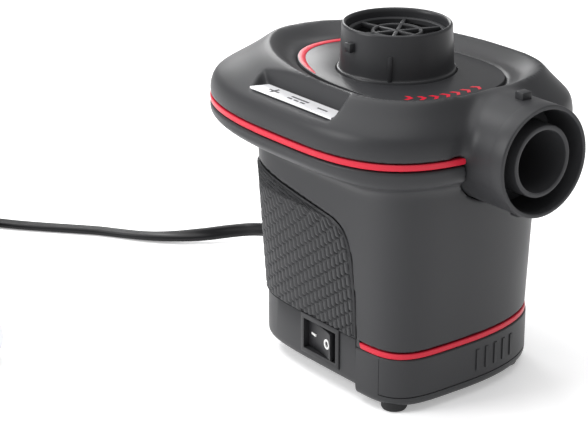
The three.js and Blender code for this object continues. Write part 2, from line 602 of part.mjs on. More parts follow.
addPart('motor_shaft', rod(MOTOR.shaft, MOTOR.bottom - 1.5, 96.6, 0, 0, 16), 'steel');
const coreSlots = Array.from({ length: 5 }, (_, i) => box(6, 20, -1.3, 1.3, 30, 80).rotate([0, 0, 72 * i]));
const core = tube(MOTOR.shaft + 0.02, 13.6, 38, 64).subtract(join(...coreSlots));
addPart('motor_armature', core, 'copper');
addPart('motor_commutator', tube(MOTOR.shaft + 0.02, 4.6, 29.5, 36.5, 0, 0, 20), 'copper');

// ---- fan: bowl, impeller ----
const bowl = turned([
  [6.7, BOWL.floor], [BOWL.radius - 2, BOWL.floor], [BOWL.radius, BOWL.floor + 2], [BOWL.radius, BOWL.top],
  [BOWL.radius - BOWL.wall, BOWL.top], [BOWL.radius - BOWL.wall, BOWL.floor + 3],
  [BOWL.radius - 3, BOWL.floor + BOWL.wall], [6.7, BOWL.floor + BOWL.wall], [6.7, BOWL.floor],
], 0, 0, 36).subtract(rodAlongX(8.8, 20, 60, OUTLET.y, OUTLET.z + 0.4)).subtract(motorScrewHoles);
addPart('fan_bowl', bowl, 'dark');

motorScrewPlaces.forEach((y, i) => {
  const motorScrew = turned([
    [0, 75.6], [1.3, 75.6], [1.3, 81.1], [2.6, 81.1], [2.6, 82], [2.2, 82.6], [0, 82.6],
  ], 0, y, 12);
  addPart(`motor_screw_${i + 1}`, motorScrew, 'steel');
});

const blade = new THREE.Shape();
blade.moveTo(8, 0);
blade.quadraticCurveTo(18, 1.6, 27.4, 9.8);
blade.lineTo(26.4, 11.2);
blade.quadraticCurveTo(17, 3.2, 8, 1.6);
const bladeSolid = slab(blade, IMPELLER.plate + 1, IMPELLER.top, 5);
const blades = Array.from({ length: IMPELLER.count }, (_, i) => (
  bladeSolid.rotate([0, 0, 360 * i / IMPELLER.count])
));
const impellerPlate = turned([
  [MOTOR.shaft + 0.02, IMPELLER.plate], [IMPELLER.radius, IMPELLER.plate],
  [IMPELLER.radius, IMPELLER.plate + 1.4], [10, IMPELLER.plate + 1.4], [6, 92], [MOTOR.shaft + 0.02, 92],
  [MOTOR.shaft + 0.02, IMPELLER.plate],
], 0, 0, 32);
addPart('impeller', join(impellerPlate, ...blades), 'white');
addPart('impeller_clip', tube(MOTOR.shaft + 0.02, 4, 92.1, 93.6, 0, 0, 16), 'steel');
addPart('inlet_seal', tube(20, 22.5, BOWL.top - 0.9, 101.3, 0, 0, 32), 'rubber');

// ---- wiring inside the case ----
function sweep(points, thickness, width, steps) {
  const path = new THREE.CatmullRomCurve3(points.map(([x, y, z]) => new THREE.Vector3(x, y, z)));
  const section = new THREE.Shape();
  section.absellipse(0, 0, thickness / 2, width / 2, 0, 2 * Math.PI, false);
  const options = { steps, extrudePath: path, curveSegments: 4, bevelEnabled: false };
  return toSolid(new THREE.ExtrudeGeometry(section, options));
}
const wireRuns = [
  [[SWITCH.x - 5, -15.6, SWITCH.z], [-5, -12.5, 14], [-9, -9, 18], [-10, -7, MOTOR.bottom - 0.8]],
  [[SWITCH.x + 5, -15.6, SWITCH.z], [12, -10, 13.5], [12.5, 0, 17], [10, 7, MOTOR.bottom - 0.8]],
];
addPart('lead_wire_1', sweep(wireRuns[0], 1.8, 1.8, 12), 'leadRed');
addPart('lead_wire_2', sweep(wireRuns[1], 1.8, 1.8, 12), 'black');
addPart('suppressor', rodAlongX(3.2, -5, 5, 9, MOTOR.bottom - 3.6, 16), 'brass');

// ---- lead: strain relief, visible stretch, coil, tie and plug ----
const reliefTip = LEAD_EXIT.x - 20;
const strainRelief = turnedAlongX([
  [0, reliefTip], [3.2, reliefTip], [4.4, LEAD_EXIT.x - 3.4], [5.6, LEAD_EXIT.x - 3],
  [5.6, LEAD_EXIT.x - 1.8], [3.2, LEAD_EXIT.x - 1.8], [3.2, LEAD_EXIT.x + 3], [0, LEAD_EXIT.x + 3],
], LEAD_EXIT.y, LEAD_EXIT.z, 20);
addPart('strain_relief', strainRelief, 'rubber');

const leadRun = [
  [reliefTip - FIT, 8, 16], [-61, 8.7, 16], [-69, 10.6, 15.4], [-78, 13.6, 14], [-88, 17.8, 12],
  [-98, 21.6, 9.8], [-106.5, 22.8, 7.8], [-114.5, 20.6, 6], [-120.6, 14.7, 4.7], [-125.7, 7.3, 3.7],
  [-131.8, -0.4, 2.9], [-138.2, -6.9, 2.3], [-145, -12.2, 1.9], [-153, -17.2, LEAD_FLOOR],
  [-160.3, -22.2, LEAD_FLOOR], [-166.8, -27.8, LEAD_FLOOR], [-173, -33.4, LEAD_FLOOR],
  [-179.4, -39.1, LEAD_FLOOR], [-186.1, -44.7, LEAD_FLOOR], [-193.4, -50.2, LEAD_FLOOR],
  [-197.2, -53.05, LEAD_FLOOR],
];
const tailRun = [
  [-170.9, -133, 10.3], [-165.6, -132.2, 10.3], [-160.3, -130.1, 10.4], [-155, -127.4, 10.4],
  [-150.2, -125.4, 10.5], [-147.4, -124.7, 10.5], [PLUG.x - 10.5, PLUG.y, 10.5],
];

addPart('power_lead', sweep(leadRun, LEAD.thickness, LEAD.width, 24), 'black');
addPart('lead_coil', tube(COIL.inner, COIL.outer, 0.1, COIL.height, COIL.x, COIL.y, 32), 'black');
addPart('lead_tail', sweep(tailRun, LEAD.thickness, LEAD.width, 8), 'black');

const tieY = COIL.y - (COIL.inner + COIL.outer) / 2;
const tieReach = (COIL.outer - COIL.inner) / 2 + FIT;
const tieBand = box(
  COIL.x - 2, COIL.x + 2, tieY - tieReach - 1, tieY + tieReach + 1, COIL.height + FIT, COIL.height + 1.3,
);
const tieLegs = [-1, 1].map((side) => box(
  COIL.x - 2, COIL.x + 2,
  tieY + side * (tieReach + 0.8) - 0.5, tieY + side * (tieReach + 0.8) + 0.5,
  0.2, COIL.height + 1.3,
));
addPart('coil_tie', join(tieBand, ...tieLegs), 'rubber');

// The 12 V plug lies on its side with its tip towards +X.
const plugHeight = PLUG.radius + 0.1;
function turnedPlug(profile, steps = ROUND) {
  const geometry = turnedGeometry(profile, steps).rotateY(Math.PI / 2);
  return toSolid(geometry.translate(PLUG.x, PLUG.y, plugHeight));
}
const tipFace = PLUG.length;
const plugBody = turnedPlug([
  [0, -10], [3.4, -10], [4.6, 0], [8.6, 0.6], [PLUG.radius, 4], [PLUG.radius, 24], [9.4, 27],
  [9.4, tipFace - 10], [0, tipFace - 10],
]).subtract(turnedPlug([[0, tipFace - 20], [3.2, tipFace - 20], [3.2, tipFace], [0, tipFace]], 12));
const contactSlots = box(
  PLUG.x + 34, PLUG.x + 48, PLUG.y - 12, PLUG.y + 12, plugHeight - 1.8, plugHeight + 1.8,
).subtract(rodAlongX(4.3, PLUG.x + 30, PLUG.x + 50, PLUG.y, plugHeight, 12));
addPart('plug_body', plugBody.subtract(contactSlots), 'black');

// The sprung tip's flange is held behind the cap's lip and has room to slide back into the cap.
const plugCap = turnedPlug([
  [5.3, tipFace - 9.8], [8.4, tipFace - 9.8], [8.4, tipFace - 4], [6.6, tipFace - 1.2], [4.3, tipFace - 1.2],
  [4.3, tipFace - 2.7], [5.3, tipFace - 2.7], [5.3, tipFace - 9.8],
], 20);
addPart('plug_cap', plugCap, 'steel');
const plugTip = turnedPlug([
  [0, tipFace - 9.6], [2.6, tipFace - 9.6], [2.6, tipFace - 4.6], [4.9, tipFace - 4.6], [4.9, tipFace - 3],
  [3.9, tipFace - 3], [3.9, tipFace], [2.4, tipFace + 2.6], [0, tipFace + 3],
], 16);
addPart('plug_tip', plugTip, 'steel');

[-1, 1].forEach((side, i) => {
  const centreY = PLUG.y + side * 7.6;
  const contact = box(
    PLUG.x + 35, PLUG.x + 47, centreY - 1.7, centreY + 1.7, plugHeight - 1.4, plugHeight + 1.4,
  );
  const nose = rodAlongX(1.4, PLUG.x + 37, PLUG.x + 45, PLUG.y + side * 9.6, plugHeight, 12);
  addPart(`plug_contact_${i + 1}`, contact.add(nose), 'steel');
});

export default pump;
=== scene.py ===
# Electric air mattress pump: the detailed shells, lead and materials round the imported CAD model.
# Shapes are written in millimetres with the CAD's own outlines, and turned into metres as they are made.
import math

import bmesh
import bpy
import numpy as np
from mathutils import Matrix, Vector
from mathutils.kdtree import KDTree


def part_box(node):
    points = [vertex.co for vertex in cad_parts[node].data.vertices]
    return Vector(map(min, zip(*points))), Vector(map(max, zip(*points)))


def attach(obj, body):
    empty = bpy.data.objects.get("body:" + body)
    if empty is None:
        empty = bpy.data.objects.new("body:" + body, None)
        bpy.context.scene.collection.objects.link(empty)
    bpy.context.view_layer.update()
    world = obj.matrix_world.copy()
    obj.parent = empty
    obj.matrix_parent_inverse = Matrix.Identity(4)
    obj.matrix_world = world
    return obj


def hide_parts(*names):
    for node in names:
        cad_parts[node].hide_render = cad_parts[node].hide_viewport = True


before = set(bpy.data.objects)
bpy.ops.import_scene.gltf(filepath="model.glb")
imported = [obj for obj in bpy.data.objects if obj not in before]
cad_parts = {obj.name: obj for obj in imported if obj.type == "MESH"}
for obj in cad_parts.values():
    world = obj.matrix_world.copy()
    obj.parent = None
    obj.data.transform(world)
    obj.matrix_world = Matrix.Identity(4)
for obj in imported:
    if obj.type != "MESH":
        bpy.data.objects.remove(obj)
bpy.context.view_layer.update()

MM = 0.001

# ---- camera ----
CAMERA_PLACE = (513.67, -442.23, 307.45)
CAMERA_BACK = Vector((0.7388, -0.5720, 0.3564)).normalized()
CAMERA_LENS = 125.5

camera = bpy.data.objects.new("camera", bpy.data.cameras.new("camera"))
camera.data.lens = CAMERA_LENS
camera.data.sensor_width = 36
camera.data.clip_start = 0.01
camera.location = Vector(CAMERA_PLACE) * MM
camera.rotation_euler = (-CAMERA_BACK).to_track_quat("-Z", "Y").to_euler()
bpy.context.scene.collection.objects.link(camera)
bpy.context.scene.camera = camera

# ---- driving dimensions, as in the CAD ----
WALL = 2
FIT = 0.3
SEAM_GAP = 0.12
HEAD = dict(x=0, y=0, left=70.9, right=55, front=51.4, back=51.4, powers=(2.7, 3.25, 3.25))
CREST = dict(x=12, y=0, left=68, right=34, front=38, back=38.5, powers=(1.95, 3, 3))
PLATE = dict(x=9, y=0, left=50, right=30, front=29, back=29, powers=(2.2, 3, 2.3))
BODY = dict(x=20, y=-9, left=55.9, right=26.2, front=28.2, back=46.2, powers=(5, 4.3, 2.4))
NECK_OUTLINE = dict(x=20, y=-9, left=59.6, right=28.4, front=30.4, back=48.4, powers=(5, 4.3, 2.4))

OUTLET_Y, OUTLET_Z, OUTLET_FACE = 2.5, 90, 70.86
COLLAR_RADIUS, COLLAR_BORE, COLLAR_BACK = 19, 17.4, 43.5
COLLAR_MIDDLE = (COLLAR_RADIUS + COLLAR_BORE) / 2
TUBE_RADIUS, TUBE_BORE = 12.5, 10.4
PORT_RADIUS, PORT_BORE, PORT_RING, GRILLE = 19, 17.2, 20.6, 117
RIM_TOP = 122
TRIM_BOTTOM, TRIM_TOP = 88.9, 91.1
PLATE_SEAT, PLATE_TOP = 103.4, 105.6
NECK = 75
COVER_BOTTOM = 5.2
SKIRT_BOTTOM, SKIRT_TOP, LOWER_TRIM_TOP = 2.6, 19.6, 21.8
SKIRT_PROUD = -0.5
GRIP_BOTTOM, PAD, SEAM_X = 22, 1.3, 25
BADGE_EDGE = 36.5
BADGE_RIBS = (-1, 3.5, 8, 12.5, 17)
SWITCH_X, SWITCH_Z, SWITCH_FACE = 5.7, 15.3, -37.9
BEZEL_HALF_X, BEZEL_HALF_Z = 10.5, 7.5
ROCKER_PIVOT_Y = -32.9
ROCKER_TILT = math.radians(-10.5)

LEAD_WIDTH, LEAD_THICKNESS, LEAD_FLOOR = 5.4, 2.8, 1.6
LEAD_ROUTE = [
    (-55.2, 8, 16), (-61, 8.7, 16), (-69, 10.6, 15.4), (-78, 13.6, 14), (-88, 17.8, 12),
    (-98, 21.6, 9.8), (-106.5, 22.8, 7.8), (-114.5, 20.6, 6), (-120.6, 14.7, 4.7), (-125.7, 7.3, 3.7),
    (-131.8, -0.4, 2.9), (-138.2, -6.9, 2.3), (-145, -12.2, 1.9), (-153, -17.2, 1.6),
    (-160.3, -22.2, 1.6), (-166.8, -27.8, 1.6), (-173, -33.4, 1.6), (-179.4, -39.1, 1.6),
    (-186.1, -44.7, 1.6), (-193.4, -50.2, 1.6), (-200.6, -55.6, 1.6), (-207.8, -61, 1.6),
]
LEAD_TAIL = [
    (-182, -133.3, 10.3), (-176.3, -133.3, 10.3), (-170.9, -133, 10.3), (-165.6, -132.2, 10.3),
    (-160.3, -130.1, 10.4), (-155, -127.4, 10.4), (-150.2, -125.4, 10.5), (-147.4, -124.7, 10.5),
    (-144.5, -124.5, 10.5),
]
COIL_X, COIL_Y, COIL_INNER, COIL_OUTER = -192.8, -96, 26, 37
COIL_LAYERS = 4
COIL_LAYER_TURNS = 1.85
COIL_ENTRY = math.radians(126.9)


# ---- meshes ----
def new_piece(name, points, faces, material, smooth_angle=35):
    """A mesh object from points in millimetres."""
    mesh = bpy.data.meshes.new(name)
    mesh.from_pydata([Vector(p) * MM for p in points], [], faces)
    mesh.validate()
    piece = bpy.data.objects.new(name, mesh)
    bpy.context.scene.collection.objects.link(piece)
    face_outward(piece)
    if material:
        mesh.materials.append(material)
    shade(piece, smooth_angle)
    return piece


def face_outward(piece):
    """Turns all of a piece's faces outward."""
    work = bmesh.new()
    work.from_mesh(piece.data)
    bmesh.ops.recalc_face_normals(work, faces=work.faces)
    work.to_mesh(piece.data)
    work.free()


def shade(piece, angle):
    """Smooth shading, with edges above the angle kept sharp."""
    mesh = piece.data
    mesh.shade_smooth()
    mesh.set_sharp_from_angle(angle=math.radians(angle))


def bake(piece, smooth_angle=35):
    """Applies the piece's modifiers to its mesh."""
    depsgraph = bpy.context.evaluated_depsgraph_get()
    mesh = bpy.data.meshes.new_from_object(piece.evaluated_get(depsgraph))
    piece.modifiers.clear()
    piece.data = mesh
    shade(piece, smooth_angle)


def combine(piece, tool, operation):
    """Boolean of two pieces. The tool is used up."""
    modifier = piece.modifiers.new("combine", "BOOLEAN")
    modifier.operation = operation
    modifier.solver = "EXACT"
    modifier.object = tool
    bake(piece)
    bpy.data.objects.remove(tool)


def soften(piece, voxel, passes, centres=(), reach=0.0, centre_passes=0):
    """Remeshes a piece evenly and smooths it, and smooths it much more near the centre points."""
    modifier = piece.modifiers.new("even", "REMESH")
    modifier.mode = "VOXEL"
    modifier.voxel_size = voxel * MM
    bake(piece, 180)
    mesh = piece.data
    count = len(mesh.vertices)
    places = np.empty(count * 3)
    mesh.vertices.foreach_get("co", places)
    places = places.reshape(count, 3)
    edges = np.empty(len(mesh.edges) * 2, dtype=np.int64)
    mesh.edges.foreach_get("vertices", edges)
    ends = edges.reshape(-1, 2)
    degree = np.bincount(edges, minlength=count).reshape(-1, 1)

    def relax(weight):
        total = np.zeros_like(places)
        np.add.at(total, ends[:, 0], places[ends[:, 1]])
        np.add.at(total, ends[:, 1], places[ends[:, 0]])
        return places + weight * 0.5 * (total / degree - places)

    for _ in range(passes):
        places = relax(1.0)
    if len(centres):
        tree = KDTree(len(centres))
        for index, centre in enumerate(centres):
            tree.insert(centre, index)
        tree.balance()
        weight = np.array([[max(0.0, 1 - tree.find(p)[2] / (reach * MM))] for p in places])
        for _ in range(centre_passes):
            places = relax(weight)
    mesh.vertices.foreach_set("co", places.ravel())
    mesh.update()


def outline_point(outline, angle, inset=0.0):
    """A point on an outline: a rounded shape with its own reach and squareness on each side."""
    cos, sin = math.cos(angle), math.sin(angle)
    reach_x = (outline["left"] if cos < 0 else outline["right"]) - inset
    reach_y = (outline["front"] if sin < 0 else outline["back"]) - inset
    left_power, front_power, back_power = outline["powers"]
    power = left_power if cos < 0 else (front_power if sin < 0 else back_power)
    radius = (abs(cos / reach_x) ** power + abs(sin / reach_y) ** power) ** (-1 / power)
    return outline["x"] + radius * cos, outline["y"] + radius * sin


def circle_outline(radius):
    """A round outline about the port's axis."""
    return dict(x=0, y=0, left=radius, right=radius, front=radius, back=radius, powers=(2, 2, 2))


def level(outline, inset, z):
    """A ring on an outline at one height, as a function of the angle."""
    return lambda angle: (*outline_point(outline, angle, inset), z)


def levels(outline, *stops):
    """Rings on one outline, from (inset, z) pairs."""
    return [level(outline, inset, z) for inset, z in stops]


def between(first, second, share, inset, z):
    """A ring that lies a share of the way from one outline to another."""
    def place(angle):
        first_x, first_y = outline_point(first, angle, inset)
        second_x, second_y = outline_point(second, angle, inset)
        return first_x + (second_x - first_x) * share, first_y + (second_y - first_y) * share, z

    return place


def spline(stops, steps):
    """Catmull-Rom through rows of numbers, ends included."""
    rows = [np.array(s, dtype=float) for s in stops]
    rows = [2 * rows[0] - rows[1], *rows, 2 * rows[-1] - rows[-2]]
    found = []
    for a, b, c, d in zip(rows, rows[1:], rows[2:], rows[3:]):
        for step in range(steps):
            t = step / steps
            square = (2 * a - 5 * b + 4 * c - d) * t**2
            cube = (3 * b - a - 3 * c + d) * t**3
            found.append(0.5 * (2 * b + (c - a) * t + square + cube))
    return [*found, rows[-2]]


def rings_through(outlines, stops, steps):
    """Rings that run from outline to outline. A stop is (place along the outlines, inset, z)."""
    rings = []
    for along, inset, z in spline(stops, steps):
        index = min(max(int(along), 0), len(outlines) - 2)
        rings.append(between(outlines[index], outlines[index + 1], along - index, inset, z))
    return rings


def loft(name, rings, material=None, steps=240, smooth_angle=35):
    """A closed skin through rings that come back to the first ring."""
    angles = [2 * math.pi * i / steps for i in range(steps)]
    points = [ring(angle) for ring in rings for angle in angles]
    faces = []
    for row in range(len(rings)):
        below, above = row * steps, (row + 1) % len(rings) * steps
        for i in range(steps):
            j = (i + 1) % steps
            faces.append((below + i, below + j, above + j, above + i))
    return new_piece(name, points, faces, material, smooth_angle)


def bulk(name, rings, steps=240):
    """A solid with the rings as its side and flat ends."""
    angles = [2 * math.pi * i / steps for i in range(steps)]
    points = [ring(angle) for ring in rings for angle in angles]
    faces = [tuple(reversed(range(steps))), tuple(range(len(points) - steps, len(points)))]
    for row in range(len(rings) - 1):
        below, above = row * steps, (row + 1) * steps
        for i in range(steps):
            j = (i + 1) % steps
            faces.append((below + i, below + j, above + j, above + i))
    return new_piece(name, points, faces, None)


def turned(name, profile, material=None, steps=96, place=None, smooth_angle=35):
    """A ring or solid turned about +Z from [radius, z] pairs, then placed by a matrix in millimetres."""
    place = place or Matrix.Identity(4)
    closed = profile[0] == profile[-1]
    rows = profile[:-1] if closed else profile
    points, starts = [], []
    for radius, z in rows:
        starts.append(len(points))
        corners = 1 if radius == 0 else steps
        for i in range(corners):
            angle = 2 * math.pi * i / steps
            points.append(place @ Vector((radius * math.cos(angle), radius * math.sin(angle), z)))
    pairs = [(k, k + 1) for k in range(len(rows) - 1)] + ([(len(rows) - 1, 0)] if closed else [])
    faces = []
    for k, m in pairs:
        for i in range(steps):
            j = (i + 1) % steps
            lower = [starts[k]] if rows[k][0] == 0 else [starts[k] + i, starts[k] + j]
            upper = [starts[m]] if rows[m][0] == 0 else [starts[m] + j, starts[m] + i]
            if len(lower) + len(upper) > 2:
                faces.append((*lower, *upper))
    return new_piece(name, points, faces, material, smooth_angle)


def prism(name, corners, axis, start, end, material=None):
    """A prism on corner pairs. Along "Y" the pairs are (x, z), along "X" (y, z), along "Z" (x, y)."""
    orders = {"X": lambda a, b, t: (t, a, b), "Y": lambda a, b, t: (a, t, b), "Z": lambda a, b, t: (a, b, t)}
    order = orders[axis]
    count = len(corners)
    points = [order(a, b, t) for t in (start, end) for a, b in corners]
    faces = [tuple(range(count)), tuple(reversed(range(count, 2 * count)))]
    faces += [(i, (i + 1) % count, count + (i + 1) % count, count + i) for i in range(count)]
    return new_piece(name, points, faces, material)


def block(name, low, high, material=None, edge=0.0):
    """A box from its low corner to its high corner, with rounded edges if edge is given."""
    corners = [(low[0], low[1]), (high[0], low[1]), (high[0], high[1]), (low[0], high[1])]
    piece = prism(name, corners, "Z", low[2], high[2], material)
    if edge:
        round_edges(piece, edge)
    return piece


def round_edges(piece, width, segments=2):
    """Bevels all sharp edges of a piece."""
    modifier = piece.modifiers.new("edges", "BEVEL")
    modifier.width = width * MM
    modifier.segments = segments
    modifier.limit_method = "ANGLE"
    modifier.angle_limit = math.radians(35)
    bake(piece)


def along_x(y, z):
    """Places a turned piece on an axis along +X."""
    return Matrix.Translation((0, y, z)) @ Matrix.Rotation(math.pi / 2, 4, "Y")


def join_pieces(pieces, name):
    """One object from several, as separate shells in one mesh."""
    work = bmesh.new()
    for piece in pieces:
        work.from_mesh(piece.data)
    mesh = bpy.data.meshes.new(name)
    work.to_mesh(mesh)
    work.free()
    joined = bpy.data.objects.new(name, mesh)
    bpy.context.scene.collection.objects.link(joined)
    mesh.materials.append(pieces[0].data.materials[0])
    for piece in pieces:
        bpy.data.objects.remove(piece)
    shade(joined, 35)
    return joined


def settle(piece, body, slot, *nodes):
    """The piece rides on a body and stands for CAD nodes. slot is not used."""
    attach(piece, body)
    if nodes:
        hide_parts(*nodes)


# ---- materials ----
def shader(name, color, roughness, metallic=0.0):
    """A plain material and its shader node."""
    material = bpy.data.materials.new(name)
    material.use_nodes = True
    bsdf = material.node_tree.nodes["Principled BSDF"]
    bsdf.inputs["Base Color"].default_value = (*color, 1)
    bsdf.inputs["Roughness"].default_value = roughness
    bsdf.inputs["Metallic"].default_value = metallic
    bsdf.inputs["Specular IOR Level"].default_value = 0.27
    return material, bsdf


def moulded(name, color, roughness, grain=1.6, depth=0.012, mottling=0.06, metallic=0.0, coat=0.0):
    """Moulded plastic: fine grain in the surface, and slow changes of colour and gloss. grain is per mm."""
    material, bsdf = shader(name, color, roughness, metallic)
    nodes, links = material.node_tree.nodes, material.node_tree.links
    bsdf.inputs["Coat Weight"].default_value = coat
    bsdf.inputs["Coat Roughness"].default_value = 0.25
    coordinates = nodes.new("ShaderNodeTexCoord")
    fine = nodes.new("ShaderNodeTexNoise")
    fine.inputs["Scale"].default_value = grain / MM
    fine.inputs["Detail"].default_value = 3
    links.new(coordinates.outputs["Object"], fine.inputs["Vector"])
    bump = nodes.new("ShaderNodeBump")
    bump.inputs["Strength"].default_value = 0.6
    bump.inputs["Distance"].default_value = depth * MM
    links.new(fine.outputs["Fac"], bump.inputs["Height"])
    links.new(bump.outputs["Normal"], bsdf.inputs["Normal"])
    slow = nodes.new("ShaderNodeTexNoise")
    slow.inputs["Scale"].default_value = 0.05 / MM
    slow.inputs["Detail"].default_value = 4
    links.new(coordinates.outputs["Object"], slow.inputs["Vector"])
    gloss = nodes.new("ShaderNodeMapRange")
    gloss.inputs["To Min"].default_value = roughness - mottling
    gloss.inputs["To Max"].default_value = roughness + mottling
    links.new(slow.outputs["Fac"], gloss.inputs["Value"])
    links.new(gloss.outputs["Result"], bsdf.inputs["Roughness"])
    tint = nodes.new("ShaderNodeMixRGB")
    tint.inputs["Color1"].default_value = (*[c * 0.93 for c in color], 1)
    tint.inputs["Color2"].default_value = (*[min(1, c * 1.07) for c in color], 1)
    links.new(slow.outputs["Fac"], tint.inputs["Fac"])
    links.new(tint.outputs["Color"], bsdf.inputs["Base Color"])
    return material


def brushed(name, color, roughness, stretch=(40, 40, 2)):
    """Metal with fine streaks along one axis."""
    material, bsdf = shader(name, color, roughness, 1.0)
    nodes, links = material.node_tree.nodes, material.node_tree.links
    coordinates = nodes.new("ShaderNodeTexCoord")
    mapping = nodes.new("ShaderNodeMapping")
    mapping.inputs["Scale"].default_value = [s * 20 for s in stretch]
    streaks = nodes.new("ShaderNodeTexNoise")
    streaks.inputs["Scale"].default_value = 1.0
    streaks.inputs["Detail"].default_value = 4
    links.new(coordinates.outputs["Object"], mapping.inputs["Vector"])
    links.new(mapping.outputs["Vector"], streaks.inputs["Vector"])
    gloss = nodes.new("ShaderNodeMapRange")
    gloss.inputs["To Min"].default_value = roughness - 0.1
    gloss.inputs["To Max"].default_value = roughness + 0.12
    links.new(streaks.outputs["Fac"], gloss.inputs["Value"])
    links.new(gloss.outputs["Result"], bsdf.inputs["Roughness"])
    return material


charcoal = moulded("charcoal_plastic", (0.034, 0.0345, 0.037), 0.42)
dark = moulded("dark_plastic", (0.033, 0.0335, 0.036), 0.34, grain=1.2, depth=0.006)
red = moulded("red_plastic", (0.62, 0.018, 0.042), 0.34, grain=1.0, depth=0.004)
black = moulded("black_plastic", (0.018, 0.018, 0.02), 0.38, grain=1.4, depth=0.008)
bezel_black = moulded("bezel_plastic", (0.026, 0.026, 0.028), 0.36, grain=1.4, depth=0.006)
vinyl = moulded("lead_vinyl", (0.006, 0.006, 0.007), 0.4, grain=0.8, depth=0.01)
rubber = moulded("black_rubber", (0.02, 0.02, 0.021), 0.7, grain=1.5, depth=0.02)
white_mark = moulded("mark_white", (0.85, 0.85, 0.84), 0.5)
nylon = moulded("white_nylon", (0.74, 0.74, 0.71), 0.42)
label = moulded("silver_label", (0.88, 0.88, 0.9), 0.34, grain=0.7, depth=0.004, metallic=0.35)
label_ink = moulded("label_ink", (0.09, 0.09, 0.1), 0.5)
ferrite = moulded("ferrite", (0.05, 0.05, 0.055), 0.75, grain=2.0, depth=0.03)
capacitor = moulded("capacitor_film", (0.55, 0.33, 0.07), 0.25)
red_wire = moulded("red_wire", (0.45, 0.02, 0.02), 0.4)
steel = brushed("steel", (0.6, 0.61, 0.63), 0.32)
brass = brushed("brass", (0.78, 0.58, 0.27), 0.3)
copper = brushed("winding_copper", (0.7, 0.33, 0.16), 0.35, stretch=(2, 2, 40))

# ---- lead ----
def coil_route():
    """Flat spirals on top of each other, inwards and outwards in turn."""
    places = []
    steps = 26
    layer_steps = round(COIL_LAYER_TURNS * steps)
    for i in range(COIL_LAYERS * layer_steps + 1):
        layer, along = divmod(i / layer_steps, 1)
        share = along if layer % 2 == 0 else 1 - along
        radius = COIL_OUTER + (COIL_INNER - COIL_OUTER) * share
        angle = COIL_ENTRY + 2 * math.pi * COIL_LAYER_TURNS * i / layer_steps
        rise = max(0.0, min(1.0, 0.5 + (i / layer_steps - round(i / layer_steps)) * COIL_LAYER_TURNS / 0.5))
        step_up = round(i / layer_steps) - 1 + rise
        height = LEAD_FLOOR + (LEAD_THICKNESS + 0.1) * min(max(step_up, 0), COIL_LAYERS - 1)
        places.append((COIL_X + radius * math.cos(angle), COIL_Y + radius * math.sin(angle), height))
    return places


lead_path = [tuple(p) for p in spline([*LEAD_ROUTE, *coil_route(), *LEAD_TAIL], 3)]


def twin_section():
    """The flat twin section: two round cores side by side with a groove between them."""
    section = []
    core = LEAD_THICKNESS / 2
    offset = LEAD_WIDTH / 2 - core
    for side in (1, -1):
        for i in range(9):
            angle = math.radians(-118 + 236 * i / 8) + (0 if side > 0 else math.pi)
            section.append((side * offset + core * math.cos(angle), core * math.sin(angle)))
    return section


def sweep_lead(name, path, material, twist_at):
    """Sweeps the section along a path. Its flat side faces up except where twist_at turns it, in radians."""
    section = twin_section()
    path = [Vector(p) for p in path]
    points = []
    for i, place in enumerate(path):
        ahead = (path[min(i + 1, len(path) - 1)] - path[max(i - 1, 0)]).normalized()
        side = ahead.cross(Vector((0, 0, 1))).normalized()
        above = side.cross(ahead)
        turn = twist_at(place)
        across = side * math.cos(turn) + above * math.sin(turn)
        upward = above * math.cos(turn) - side * math.sin(turn)
        points += [place + across * a + upward * b for a, b in section]
    count = len(section)
    faces = [tuple(range(count)), tuple(reversed(range(len(points) - count, len(points))))]
    for row in range(len(path) - 1):
        for i in range(count):
            j = (i + 1) % count
            faces.append((row * count + i, row * count + j, (row + 1) * count + j, (row + 1) * count + i))
    return new_piece(name, points, faces, material, 60)


def lead_twist(place):
    """The lead leaves its gland on edge and turns flat as it comes down to the floor."""
    if place.x > -100:
        return math.radians(80)
    if place.y < -14 or place.x < -150:
        return 0.0
    share = max(0.0, min(1.0, (place.y + 14) / 34))
    return math.radians(80) * share * share * (3 - 2 * share)


lead = sweep_lead("power_lead_twin", lead_path, vinyl, lead_twist)
settle(lead, "housing", "lead_vinyl", "power_lead", "lead_coil", "lead_tail")
[tuple(v * MM for v in p) for p in lead_path]

# ---- head cover with the outlet collar moulded on ----
HEAD_STOPS = [
    (0, 0.1, TRIM_TOP + 0.1), (0.004, 0, 93.4), (0.02, 0, 95.6), (0.08, 0, 98.4), (0.22, 0, 100.6),
    (0.55, 0, 104.6), (0.86, 0, 108.4), (1.0, 0, 109.2), (1.25, -0.3, 108.2), (1.6, -0.3, 105.9),
    (1.96, -0.3, 105.1),
]
head_outside = rings_through([HEAD, CREST, PLATE], HEAD_STOPS, 5)
SEAT_UNDERSIDE = 101.4
port_hole = circle_outline(PORT_RADIUS)
head_inside = [
    level(PLATE, -FIT, PLATE_SEAT),
    level(port_hole, 0, PLATE_SEAT),
    level(port_hole, 0, SEAT_UNDERSIDE),
    level(PLATE, -2, SEAT_UNDERSIDE),
    between(HEAD, CREST, 1, 1.6, 106.8),
    between(HEAD, CREST, 0.5, WALL, 101.6),
    between(HEAD, CREST, 0.1, WALL + 0.2, 97),
    level(HEAD, WALL + 0.4, TRIM_TOP + 0.1),
]
head = loft("head_shell", head_outside + head_inside, charcoal)


